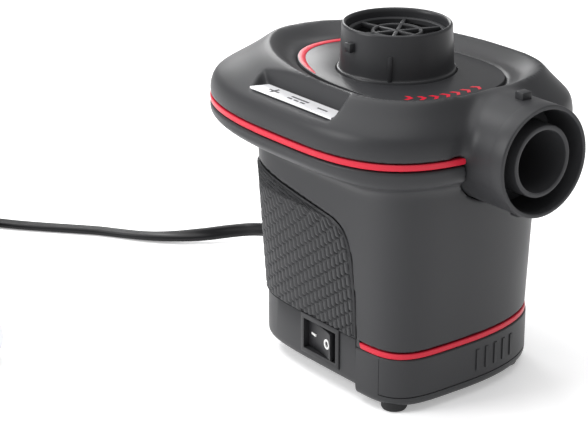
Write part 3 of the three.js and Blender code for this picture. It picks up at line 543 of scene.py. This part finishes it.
def pocket(name, grow):
    """The finger pocket's hollow, grown on every closed side."""
    front, wall, wall_top = -56, -39.2 + grow, -37.6 + grow
    shelf, top = 101.2 - grow, 112
    left, left_top, right = -22 - grow, -30 - grow, 22 + grow
    corners = [
        (left, front, shelf + 0.3), (right, front, shelf + 0.3), (right, wall, shelf - 0.3),
        (left, wall, shelf - 0.3), (left_top, front, top), (right, front, top), (right, wall_top, top),
        (left_top, wall_top, top),
    ]
    faces = [(0, 1, 2, 3), (7, 6, 5, 4), (0, 4, 5, 1), (1, 5, 6, 2), (2, 6, 7, 3), (3, 7, 4, 0)]
    return new_piece(name, corners, faces, None)


tub = bulk("pocket_tub", [level(HEAD, 0.1, TRIM_TOP + 0.1), *head_outside])
combine(tub, pocket("tub_room", WALL), "INTERSECT")
combine(head, tub, "UNION")
combine(head, pocket("pocket_room", 0), "DIFFERENCE")

SOFT_COLLAR_END = 66
collar_profile = [
    (COLLAR_BORE + 0.3, COLLAR_BACK), (COLLAR_RADIUS, COLLAR_BACK), (COLLAR_RADIUS, SOFT_COLLAR_END),
    (COLLAR_BORE + 0.3, SOFT_COLLAR_END), (COLLAR_BORE + 0.3, COLLAR_BACK),
]
collar_rim_profile = [
    (COLLAR_BORE, COLLAR_BACK), (COLLAR_BORE + 0.6, COLLAR_BACK), (COLLAR_BORE + 0.6, 60),
    (COLLAR_RADIUS - 0.25, 60), (COLLAR_RADIUS, 65), (COLLAR_RADIUS, OUTLET_FACE - 0.7),
    (COLLAR_RADIUS - 0.15, OUTLET_FACE - 0.25), (COLLAR_RADIUS - 0.4, OUTLET_FACE),
    (COLLAR_BORE + 0.45, OUTLET_FACE), (COLLAR_BORE + 0.1, OUTLET_FACE - 0.25),
    (COLLAR_BORE, OUTLET_FACE - 0.7), (COLLAR_BORE, COLLAR_BACK),
]
outlet = along_x(OUTLET_Y, OUTLET_Z)


def outlet_room(start, radius):
    """The round hollow along the outlet's axis, from x = start out past the collar."""
    return turned("outlet_room", [(0, start), (radius, start), (radius, 80), (0, 80)], place=outlet)


combine(head, outlet_room(COLLAR_BACK - FIT, COLLAR_MIDDLE), "DIFFERENCE")
combine(head, turned("collar_skin", collar_profile, place=outlet), "UNION")
junction = [
    v.co.copy() for v in head.data.vertices
    if v.co.x < 0.062 and v.co.z > 0.0925
    and abs(math.hypot(v.co.y / MM - OUTLET_Y, v.co.z / MM - OUTLET_Z) - COLLAR_RADIUS) < 0.12
    and abs(v.normal.x) > 0.02
]
soften(head, 0.65, 5, junction, 6.5, 60)
head.data.materials.append(charcoal)
pieces = [head, turned("collar_rim", collar_rim_profile, charcoal, 128, outlet)]
for low, high in ((COLLAR_MIDDLE, 21.4), (-21.4, -COLLAR_MIDDLE)):
    low_corner = (58, OUTLET_Y - 2.1, OUTLET_Z + low)
    high_corner = (61.8, OUTLET_Y + 2.1, OUTLET_Z + high)
    pieces.append(block("collar_lug", low_corner, high_corner, charcoal, 0.45))
settle(join_pieces(pieces, "head_with_collar"), "housing", "charcoal_plastic", "head_cover", "outlet_collar")

nozzle = turned("nozzle_tube", [
    (TUBE_BORE - 1, 31), (TUBE_BORE + 0.8, 31), (TUBE_BORE + 0.8, COLLAR_BACK),
    (COLLAR_BORE - FIT, COLLAR_BACK), (COLLAR_BORE - FIT, 56), (TUBE_RADIUS + 0.8, 56),
    (TUBE_RADIUS + 0.1, 56.7), (TUBE_RADIUS - 0.2, OUTLET_FACE - 1.5),
    (TUBE_RADIUS - 0.45, OUTLET_FACE - 1.05), (TUBE_RADIUS - 0.9, OUTLET_FACE - 0.9),
    (TUBE_BORE + 0.6, OUTLET_FACE - 0.9), (TUBE_BORE + 0.15, OUTLET_FACE - 1.1),
    (TUBE_BORE, OUTLET_FACE - 1.6), (TUBE_BORE, COLLAR_BACK), (TUBE_BORE - 1, 40), (TUBE_BORE - 1, 31),
], charcoal, place=outlet)
settle(nozzle, "housing", "charcoal_plastic", "outlet_nozzle")

# ---- top plate, crescent and upper trim ----
plate = loft("plate_disc", [
    *levels(
        PLATE, (-0.15, PLATE_SEAT + 0.05), (-0.15, PLATE_TOP - 0.35), (0, PLATE_TOP - 0.1),
        (0.25, PLATE_TOP),
    ),
    level(circle_outline(PORT_RING + 0.5), 0, PLATE_TOP),
    *levels(circle_outline(PORT_RING + FIT), (0, PLATE_TOP - 0.2), (0, PLATE_SEAT + 0.05)),
], dark)
settle(plate, "housing", "dark_plastic", "top_plate")


def crescent():
    """The red sickle inlaid along the plate's -X edge."""
    half_span = math.radians(53)
    steps = 80
    points, faces = [], []
    low, top = PLATE_TOP - 0.3, PLATE_TOP + 0.18
    for i in range(steps + 1):
        angle = math.pi - half_span + 2 * half_span * i / steps
        width = 2.8 * math.sin(math.pi * (i + 0.6) / (steps + 1.2)) ** 0.6
        far = 0.3 + width
        inner_side = ((0.3, low), (0.3, top - 0.06), (0.45, top))
        outer_side = ((far - 0.15, top), (far, top - 0.08), (far, low))
        for inset, z in (*inner_side, *outer_side):
            points.append((*outline_point(PLATE, angle, inset), z))
    count = 6
    for i in range(steps):
        for k in range(count):
            m = (k + 1) % count
            faces.append((i * count + k, i * count + m, (i + 1) * count + m, (i + 1) * count + k))
    faces += [tuple(range(count)), tuple(reversed(range(steps * count, (steps + 1) * count)))]
    return new_piece("crescent_inlay", points, faces, red)


settle(crescent(), "housing", "red_plastic", "accent_crescent")

CHEVRON = [(-1.5, -2), (0, -2), (1.5, 0), (0, 2), (-1.5, 2), (0, 0)]
CHEVRON_INSET = 4.2
CHEVRON_PLACES = (316, 325, 334, 343, 352, 362, 373)


def chevron(name, angle):
    """A small red arrow mark on the plate, pointing along its edge."""
    x, y = outline_point(PLATE, angle, CHEVRON_INSET)
    ahead_x, ahead_y = outline_point(PLATE, angle + 0.02, CHEVRON_INSET)
    mark = prism(name, CHEVRON, "Z", PLATE_TOP - 0.05, PLATE_TOP + 0.08, red)
    turn = Matrix.Rotation(math.atan2(ahead_y - y, ahead_x - x), 4, "Z")
    mark.data.transform(Matrix.Translation((x * MM, y * MM, 0)) @ turn)
    settle(mark, "housing", "red_plastic")


for index, degrees in enumerate(CHEVRON_PLACES):
    chevron(f"plate_chevron_{index + 1}", math.radians(degrees))

upper_trim = loft("upper_trim_band", levels(
    HEAD, (WALL + 0.2, TRIM_BOTTOM + 0.1), (0.25, TRIM_BOTTOM + 0.1), (0.02, TRIM_BOTTOM + 0.35),
    (-0.05, (TRIM_BOTTOM + TRIM_TOP) / 2), (0.02, TRIM_TOP - 0.3), (0.25, TRIM_TOP - 0.05),
    (WALL + 0.2, TRIM_TOP - 0.05),
), red)
combine(upper_trim, outlet_room(40, COLLAR_RADIUS + FIT), "DIFFERENCE")
settle(upper_trim, "housing", "red_plastic", "upper_trim")

# ---- inlet port and guard ----
port = turned("port_sleeve", [
    (PORT_BORE, 100.6), (18.6, 100.6), (18.6, PLATE_SEAT), (PORT_RING, PLATE_SEAT), (PORT_RING, 105.9),
    (20.45, 106.15), (20.0, 106.3), (19.85, 106.5), (19.75, 107), (PORT_RADIUS + 0.02, 121.0),
    (18.9, 121.5), (18.6, 121.85), (18.3, RIM_TOP), (18.1, 121.95), (17.75, 121.7), (17.5, 121.2),
    (17.4, 120.6), (17.4, GRILLE + 0.1), (16.4, GRILLE + 0.1), (16.4, GRILLE - 2.6), (PORT_BORE, 114),
    (PORT_BORE, 100.6),
], dark, steps=128)
pieces = [port]
for degrees in (-93, 87):
    lug = block("port_lug", (-1.6, 17.9, 114.4), (1.6, 21.2, 117.6), dark, 0.35)
    lug.data.transform(Matrix.Rotation(math.radians(degrees - 90), 4, "Z"))
    pieces.append(lug)
for degrees in (-47, 133):
    rib = block("port_rib", (-0.8, 18, 106), (0.8, 20.3, 115), dark, 0.5)
    rib.data.transform(Matrix.Rotation(math.radians(degrees - 90), 4, "Z"))
    pieces.append(rib)
port = join_pieces(pieces, "port_sleeve_lugged")
settle(port, "housing", "dark_plastic", "inlet_port")

GUARD_LOW, GUARD_TOP = GRILLE + 0.2, GRILLE + 2


def guard_ring(name, inner, outer):
    """A flat ring of the guard, with softened upper edges."""
    return turned(name, [
        (inner, GUARD_LOW), (outer, GUARD_LOW), (outer, GUARD_TOP - 0.4), (outer - 0.3, GUARD_TOP),
        (inner + 0.3, GUARD_TOP), (inner, GUARD_TOP - 0.4), (inner, GUARD_LOW),
    ], charcoal)


pieces = [guard_ring("guard_rim", 15.6, 17.2), guard_ring("guard_hub", 7.6, 8.9)]
for degrees in (10, 70, 130):
    for low, high in ((-16, -8.3), (-8.2, 8.2), (8.3, 16)):
        bar = block("guard_bar", (low, -0.7, GUARD_LOW + 0.1), (high, 0.7, GUARD_TOP - 0.15), charcoal, 0.3)
        bar.data.transform(Matrix.Rotation(math.radians(degrees), 4, "Z"))
        pieces.append(bar)
settle(join_pieces(pieces, "port_guard"), "housing", "dark_plastic", "inlet_guard")

# ---- body shell ----
FLANGE_STOPS = [
    (0, 0, NECK), (0.03, 0, 77), (0.12, 0, 79), (0.36, 0, 80.8), (0.78, 0, 82.6), (0.95, 0, 84.4),
    (1, 0, 86.2), (1, 0.05, 88.0), (1, 0.35, TRIM_BOTTOM - 0.4),
]
body_outside = [level(BODY, 0, LOWER_TRIM_TOP + 0.3)]
body_outside += rings_through([NECK_OUTLINE, HEAD], FLANGE_STOPS, 5)
body_inside = [
    level(HEAD, WALL + 0.4, TRIM_BOTTOM - 0.4), level(HEAD, WALL + 0.2, 86.4),
    between(NECK_OUTLINE, HEAD, 0.78, WALL, 84.6), between(NECK_OUTLINE, HEAD, 0.1, WALL, 81.2),
    level(NECK_OUTLINE, WALL, NECK), level(BODY, WALL, LOWER_TRIM_TOP + 0.3),
]


def cover_line(gap=0.0, steps=16):
    """The rear cover's region seen along Y: left of an upright seam and below a sloping line."""
    corners = [(-80, -2), (SEAM_X - gap, -2), (SEAM_X - 0.5 - gap, 37), (SEAM_X - 1.8 - gap, 51)]
    start, first, second, end = [Vector(p) for p in ((23.2, 51), (22, 57.5), (20, 62), (13, 63.6))]
    for i in range(1, steps + 1):
        t = i / steps
        p = start * (1 - t) ** 3 + first * 3 * t * (1 - t) ** 2 + second * 3 * t * t * (1 - t) + end * t**3
        corners.append((p.x - gap, p.y - gap))
    return [*corners, (-27, 70.2 - gap), (-80, 76 - gap)]


def cover_room(gap=0.0):
    """The rear cover's region as a solid right through the body."""
    return prism("cover_room", cover_line(gap), "Y", -60, 60)


body = loft("body_case", body_outside + body_inside, charcoal)
combine(body, cover_room(), "DIFFERENCE")
combine(body, outlet_room(30, COLLAR_RADIUS + FIT), "DIFFERENCE")
soften(body, 0.55, 2)
body.data.materials.clear()
body.data.materials.append(charcoal)
trim_stop = loft("trim_stop", levels(
    BODY, (1.6, SKIRT_TOP + 0.15), (0.05, SKIRT_TOP + 0.15), (0.05, LOWER_TRIM_TOP + 1),
    (1.6, LOWER_TRIM_TOP + 1),
), charcoal)
stop_wedge = prism("stop_wedge", [(SEAM_X, 19), (28, 19), (25.6, 24), (SEAM_X, 24)], "Y", -60, 60)
combine(trim_stop, stop_wedge, "INTERSECT")
settle(join_pieces([body, trim_stop], "body_case_closed"), "housing", "charcoal_plastic", "body_shell")

# ---- rear cover ----
gland_place = along_x(LEAD_ROUTE[0][1], LEAD_ROUTE[0][2])


def switch_box(half_x, half_z, front, back):
    """The corners of a box centred on the switch."""
    return (SWITCH_X - half_x, front, SWITCH_Z - half_z), (SWITCH_X + half_x, back, SWITCH_Z + half_z)


REAR_INSIDE = PAD + WALL - 0.4
rear = loft("rear_case", [
    *levels(
        BODY, (1.2, COVER_BOTTOM), (0.5, COVER_BOTTOM + 0.3), (0.15, COVER_BOTTOM + 1),
        (0, COVER_BOTTOM + 2.2), (0, GRIP_BOTTOM - 0.3), (0.2, GRIP_BOTTOM), (PAD, GRIP_BOTTOM),
    ),
    *levels(NECK_OUTLINE, (PAD, NECK), (PAD, NECK + 3), (REAR_INSIDE, NECK + 3), (REAR_INSIDE, NECK)),
    *levels(BODY, (REAR_INSIDE, GRIP_BOTTOM), (REAR_INSIDE, COVER_BOTTOM)),
], charcoal)
combine(rear, cover_room(SEAM_GAP), "INTERSECT")
bezel_room = block("bezel_room", *switch_box(BEZEL_HALF_X + 0.1, BEZEL_HALF_Z + 0.1, -60, -30))
combine(rear, bezel_room, "DIFFERENCE")
gland_room = turned("gland_room", [(0, -60), (3.4, -60), (3.4, -25), (0, -25)], place=gland_place)
combine(rear, gland_room, "DIFFERENCE")
settle(rear, "housing", "charcoal_plastic", "rear_cover")

# ---- grip pad, with its woven relief ----
GRIP_DEPTH = 0.7
COLUMN, CELL = 2.35, 4.4         # pitch of the relief's columns, and of the pads in one column


def weave(distance, height):
    """Height of the relief: upright pads in columns, each column a third of a pad above the last."""
    column = math.floor(distance / COLUMN)
    across = 2 * (distance / COLUMN - column) - 1
    along = height / CELL + column / 3
    up = 2 * (along - math.floor(along)) - 1
    return (1 - abs(across) ** 4) * (1 - abs(up) ** 8)


def seam_limit(z):
    """The largest x of the grip at a height."""
    corners = cover_line(SEAM_GAP)[1:]
    limit = SEAM_X
    for (x0, z0), (x1, z1) in zip(corners, corners[1:]):
        if z0 <= z <= z1:
            limit = x0 + (x1 - x0) * (z - z0) / (z1 - z0)
    return limit


def body_angle(x, side):
    """The angle on the body's outline at which it reaches an x, on the front (-1) or the back (1)."""
    low, high = (math.pi, 2 * math.pi) if side < 0 else (math.pi, 0.0)
    for _ in range(40):
        middle = (low + high) / 2
        if outline_point(BODY, middle)[0] < x:
            low = middle
        else:
            high = middle
    return (low + high) / 2


def grip():
    """The woven pad round the body, from the seam at the front to the seam at the back."""
    columns, rows = 560, 150
    bottom, top = GRIP_BOTTOM + 0.2, 71.2
    points, faces = [], []
    for row in range(rows + 1):
        z = bottom + (top - bottom) * row / rows
        limit = seam_limit(z)
        front, back = body_angle(limit, -1), body_angle(limit, 1)
        share = (z - GRIP_BOTTOM) / (NECK - GRIP_BOTTOM)
        place = between(BODY, NECK_OUTLINE, share, 0, z)
        inner = between(BODY, NECK_OUTLINE, share, 1, z)
        rings = [place(front + (back - front) * c / columns) for c in range(columns + 1)]
        centre = columns // 2
        lengths = np.concatenate([[0], np.cumsum([math.dist(a, b) for a, b in zip(rings, rings[1:])])])
        total = lengths[-1]
        for c, (x, y, height) in enumerate(rings):
            angle = front + (back - front) * c / columns
            inner_x, inner_y, _ = inner(angle)
            out = Vector((x - inner_x, y - inner_y, 0)).normalized()
            edge = min(lengths[c], total - lengths[c], (z - bottom) * 1.5)
            if z > 50:
                edge = min(edge, (grip_top(x) - z) * 0.9)
            fade = max(0.0, min(1.0, (edge - 0.5) / 0.5))
            rim = max(0.0, min(1.0, edge / 0.35))
            relief = -0.25 + (GRIP_DEPTH + 0.25) * weave(lengths[c] - lengths[centre], z) if fade > 0 else 0.0
            proud = 0.15 + fade * relief - 0.35 * (1 - rim)
            points.append((x + out.x * proud, y + out.y * proud, height))
    width = columns + 1
    bezel_top = SWITCH_Z + BEZEL_HALF_Z + 0.1
    for row in range(rows):
        for c in range(columns):
            a = row * width + c
            x, y, z = points[a]
            behind_bezel = y < -30 and abs(x - SWITCH_X) < BEZEL_HALF_X + FIT and z < bezel_top
            if not behind_bezel:
                faces.append((a, a + 1, a + width + 1, a + width))
    piece = new_piece("grip_weave", points, faces, charcoal, 60)
    modifier = piece.modifiers.new("thickness", "SOLIDIFY")
    modifier.thickness = 1.0 * MM
    modifier.offset = -1
    bake(piece, 60)
    return piece


def grip_top(x):
    """Height of the sloping upper edge above an x."""
    corners = cover_line(SEAM_GAP)[2:]
    for (x0, z0), (x1, z1) in zip(corners, corners[1:]):
        if x1 <= x <= x0:
            return z0 + (z1 - z0) * (x0 - x) / (x0 - x1)
    return 76.0


grip_pad = grip()
settle(grip_pad, "housing", "charcoal_plastic", "grip_pad")

# ---- base ----
base = loft("base_skirt", levels(
    BODY, (2.4, SKIRT_BOTTOM), (1.1, SKIRT_BOTTOM), (0.4, SKIRT_BOTTOM + 0.3),
    (-0.1, SKIRT_BOTTOM + 0.9), (SKIRT_PROUD + 0.1, SKIRT_BOTTOM + 1.7),
    (SKIRT_PROUD, SKIRT_BOTTOM + 2.8), (SKIRT_PROUD, SKIRT_TOP - 0.4), (SKIRT_PROUD + 0.35, SKIRT_TOP),
    (WALL - 0.4, SKIRT_TOP), (WALL - 0.4, 6), (5, 5.4), (5, 3.4),
), charcoal)
combine(base, block("skirt_side", (SEAM_X + FIT, -60, 0), (80, 60, 60)), "INTERSECT")
badge_room = loft("badge_room", levels(
    BODY, (SKIRT_PROUD + 0.9, 5.7), (SKIRT_PROUD - 3, 5.7), (SKIRT_PROUD - 3, 25), (SKIRT_PROUD + 0.9, 25),
))
combine(badge_room, block("badge_side", (BADGE_EDGE - 0.15, -60, 0), (80, 60, 60)), "INTERSECT")
combine(base, badge_room, "DIFFERENCE")
base_floor = bulk("base_floor", levels(BODY, (PAD + WALL, 3.4), (PAD + WALL, 5.4)))
base_floor.data.materials.append(charcoal)
settle(join_pieces([base, base_floor], "base_pan"), "housing", "charcoal_plastic", "base_tray")

badge = loft("badge_band", levels(
    BODY, (SKIRT_PROUD + 0.85, 5.8), (SKIRT_PROUD + 0.25, 5.8), (SKIRT_PROUD + 0.02, 6.1),
    (SKIRT_PROUD + 0.02, SKIRT_TOP - 0.4), (SKIRT_PROUD + 0.35, SKIRT_TOP), (SKIRT_PROUD + 0.85, SKIRT_TOP),
), charcoal)
combine(badge, block("badge_side", (BADGE_EDGE, -60, 0), (80, 60, 60)), "INTERSECT")
pieces = [badge]
for y in BADGE_RIBS:
    rib = loft("badge_rib", levels(
        BODY, (SKIRT_PROUD + 0.4, 8.5), (SKIRT_PROUD - 0.25, 8.6), (SKIRT_PROUD - 0.35, 8.9),
        (SKIRT_PROUD - 0.35, 16.1), (SKIRT_PROUD - 0.25, 16.4), (SKIRT_PROUD + 0.4, 16.5),
    ), charcoal)
    combine(rib, block("rib_side", (30, y - 0.7, 0), (60, y + 0.7, 30)), "INTERSECT")
    pieces.append(rib)
settle(join_pieces(pieces, "badge_panel_ribs"), "housing", "charcoal_plastic", "badge_panel")

lower_trim = loft("lower_trim_band", levels(
    BODY, (WALL - 0.4, SKIRT_TOP + 0.15), (0.1, SKIRT_TOP + 0.15), (-0.15, SKIRT_TOP + 0.4), (-0.2, 20.7),
    (-0.12, LOWER_TRIM_TOP - 0.35), (0.1, LOWER_TRIM_TOP - 0.1), (WALL - 0.4, LOWER_TRIM_TOP - 0.1),
), red)
combine(lower_trim, prism("trim_wedge", [(28, 19), (80, 19), (80, 25), (25, 25)], "Y", -60, 60), "INTERSECT")
settle(lower_trim, "housing", "red_plastic", "lower_trim")

for index in range(4):
    low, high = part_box(f"foot_{index + 1}")
    x, y = (low[0] + high[0]) / 2 / MM, (low[1] + high[1]) / 2 / MM
    foot = turned(f"foot_pad_{index + 1}", [
        (0, 0), (3.4, 0), (4.1, 0.3), (4.5, 1.0), (4.5, 3.4), (0, 3.4),
    ], rubber, 48, Matrix.Translation((x, y, 0)))
    settle(foot, "housing", "black_rubber", f"foot_{index + 1}")

# ---- switch ----
bezel = block("switch_bezel", *switch_box(BEZEL_HALF_X, BEZEL_HALF_Z, SWITCH_FACE, SWITCH_FACE + 1.1))
case = block("switch_case", *switch_box(9.6, 6.6, SWITCH_FACE + 1.0, -24))
round_edges(bezel, 0.4)
combine(bezel, case, "UNION")
well = block("rocker_well", *switch_box(8.8, 5.6, -60, -27.5))
combine(bezel, well, "DIFFERENCE")
bezel.data.materials.clear()
bezel.data.materials.append(bezel_black)
settle(bezel, "housing", "black_plastic", "switch_frame")

HALF_FACE = [(7.9, -4.5), (6, -4.1), (4, -3.85), (2, -3.78)]
ROCKER_FACE = [*HALF_FACE, (0, -3.75), *[(-x, y) for x, y in reversed(HALF_FACE)]]
ROCKER_KEEL = [(-7.2, -1), (-2.2, 4.4), (2.2, 4.4), (7.2, -1)]
rocker_turn = Matrix.Translation((SWITCH_X, ROCKER_PIVOT_Y, SWITCH_Z)) @ Matrix.Rotation(ROCKER_TILT, 4, "Z")
rocker_turn_m = Matrix.Translation(rocker_turn.translation * MM) @ Matrix.Rotation(ROCKER_TILT, 4, "Z")
rocker = prism("rocker_key", [*ROCKER_FACE, *ROCKER_KEEL], "Z", -5.3, 4.5, black)
round_edges(rocker, 0.35)
rocker.data.transform(rocker_turn_m)
on_bar = block("rocker_on_mark", (-6.1, -4.25, -0.4), (-3.1, -3.8, 0.4), white_mark, 0.08)
on_bar.data.transform(rocker_turn_m)
ring_place = rocker_turn @ Matrix.Translation((5, 0, 0)) @ Matrix.Rotation(math.pi / 2, 4, "X")
ring_profile = [(1.15, 3.7), (1.15, 4.3), (1.8, 4.3), (1.8, 3.7), (1.15, 3.7)]
off_ring = turned("rocker_off_mark", ring_profile, white_mark, 40, ring_place)
settle(rocker, "rocker", "black_plastic", "switch_rocker")
settle(on_bar, "rocker", "black_plastic")
settle(off_ring, "rocker", "black_plastic")

# ---- rating strip ----
STRIP_CORNERS = [(-22, -46.4), (21.9, -46.4), (20.4, -39.8), (-20, -39.8)]
STRIP_TOP = 102.2
strip = prism("rating_strip", STRIP_CORNERS, "Z", STRIP_TOP - 0.65, STRIP_TOP, label)
settle(strip, "housing", "silver_label", "rating_plate")


def ink(name, x0, x1, y0, y1):
    """A printed bar on the rating strip."""
    mark = block(name, (x0, y0, STRIP_TOP - 0.05), (x1, y1, STRIP_TOP + 0.1), label_ink)
    settle(mark, "housing", "black_plastic")


ink("strip_volt_bar", -4, 5, -42.6, -41.9)
for index, x in enumerate((-4, -0.6, 2.8)):
    ink(f"strip_volt_dash_{index + 1}", x, x + 2.2, -44.4, -43.7)
ink("strip_plus_across", -15, -10, -43.6, -42.9)
ink("strip_plus_upright", -12.9, -12.1, -45.2, -41.2)
ink("strip_minus", 11, 16, -43.6, -42.9)

# ---- lead's gland ----
gland = turned("lead_gland", [
    (0, -54.9), (2.6, -54.9), (3.1, -54.4), (3.3, -53.4), (3.3, -51), (3.0, -50.7), (3.0, -49.9),
    (3.5, -49.6), (3.6, -46.6), (3.2, -46.3), (3.2, -45.5), (3.8, -45.2), (4.0, -42.2), (3.6, -41.9),
    (3.6, -41.1), (4.2, -40.8), (4.4, -38.3), (5.6, -37.9), (5.6, -36.7), (3.2, -36.7), (3.2, -31.9),
    (0, -31.9),
], rubber, 48, gland_place)
settle(gland, "housing", "black_rubber", "strain_relief")

# ---- carried-over CAD nodes ----
CARRIED = {
    dark: ["fan_bowl"],
    black: ["plug_body"],
    rubber: ["inlet_seal", "coil_tie"],
    nylon: ["impeller", "motor_end_cap"],
    ferrite: ["motor_magnet_1", "motor_magnet_2"],
    copper: ["motor_armature", "motor_commutator"],
    capacitor: ["suppressor"],
    red_wire: ["lead_wire_1"],
    vinyl: ["lead_wire_2"],
    brass: ["switch_terminal_1", "switch_terminal_2"],
    steel: [
        "motor_can", "motor_shaft", "motor_screw_1", "motor_screw_2", "impeller_clip", "plug_cap",
        "plug_tip", "plug_contact_1", "plug_contact_2",
        *[f"{kind}_screw_{i}" for kind in ("head", "base") for i in (1, 2, 3, 4)],
    ],
}
for material, names in CARRIED.items():
    for name in names:
        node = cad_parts[name]
        node.data.materials.clear()
        node.data.materials.append(material)
        shade(node, 32)

# ---- floor, lights ----
floor_mesh = bpy.data.meshes.new("floor")
floor_mesh.from_pydata([(-4, -4, 0), (4, -4, 0), (4, 4, 0), (-4, 4, 0)], [], [(0, 1, 2, 3)])
floor = bpy.data.objects.new("floor", floor_mesh)
bpy.context.scene.collection.objects.link(floor)
floor_material = moulded("floor_paper", (0.92, 0.92, 0.925), 0.6, grain=0.6, depth=0.01)
floor_shader = floor_material.node_tree.nodes["Principled BSDF"]
floor_shader.inputs["Emission Color"].default_value = (1, 1, 1, 1)
floor_shader.inputs["Emission Strength"].default_value = 0.32
floor_mesh.materials.append(floor_material)

world = bpy.data.worlds.new("studio")
bpy.context.scene.world = world
world.use_nodes = True
world.node_tree.nodes["Background"].inputs["Color"].default_value = (1, 1, 1, 1)
world.node_tree.nodes["Background"].inputs["Strength"].default_value = 0.42


def sun(name, direction, strength, angle):
    """A distant light that shines along a direction. angle is its width in degrees."""
    lamp = bpy.data.lights.new(name, "SUN")
    lamp.energy = strength
    lamp.angle = math.radians(angle)
    light = bpy.data.objects.new(name, lamp)
    light.rotation_euler = Vector(direction).to_track_quat("-Z", "Y").to_euler()
    bpy.context.scene.collection.objects.link(light)


def soft_light(name, place, power, size, target):
    """A light box in metres and watts, aimed at a target."""
    lamp = bpy.data.lights.new(name, "AREA")
    lamp.energy = power
    lamp.shape = "RECTANGLE"
    lamp.size, lamp.size_y = size
    light = bpy.data.objects.new(name, lamp)
    light.location = place
    light.rotation_euler = (Vector(target) - Vector(place)).to_track_quat("-Z", "Y").to_euler()
    bpy.context.scene.collection.objects.link(light)


sun("sky_box", (0.12, 0.08, -1), 1.85, 60)
soft_light("rim_box", (-0.38, 0.15, 0.26), 0.55, (0.16, 0.2), (0, 0, 0.1))
soft_light("left_box", (-0.25, -0.6, 0.4), 2.4, (0.3, 0.3), (0, 0, 0.05))
soft_light("top_box", (-0.42, -0.12, 0.5), 0.9, (0.2, 0.2), (0.04, 0, 0.1))
bpy.context.scene.view_settings.view_transform = "Standard"
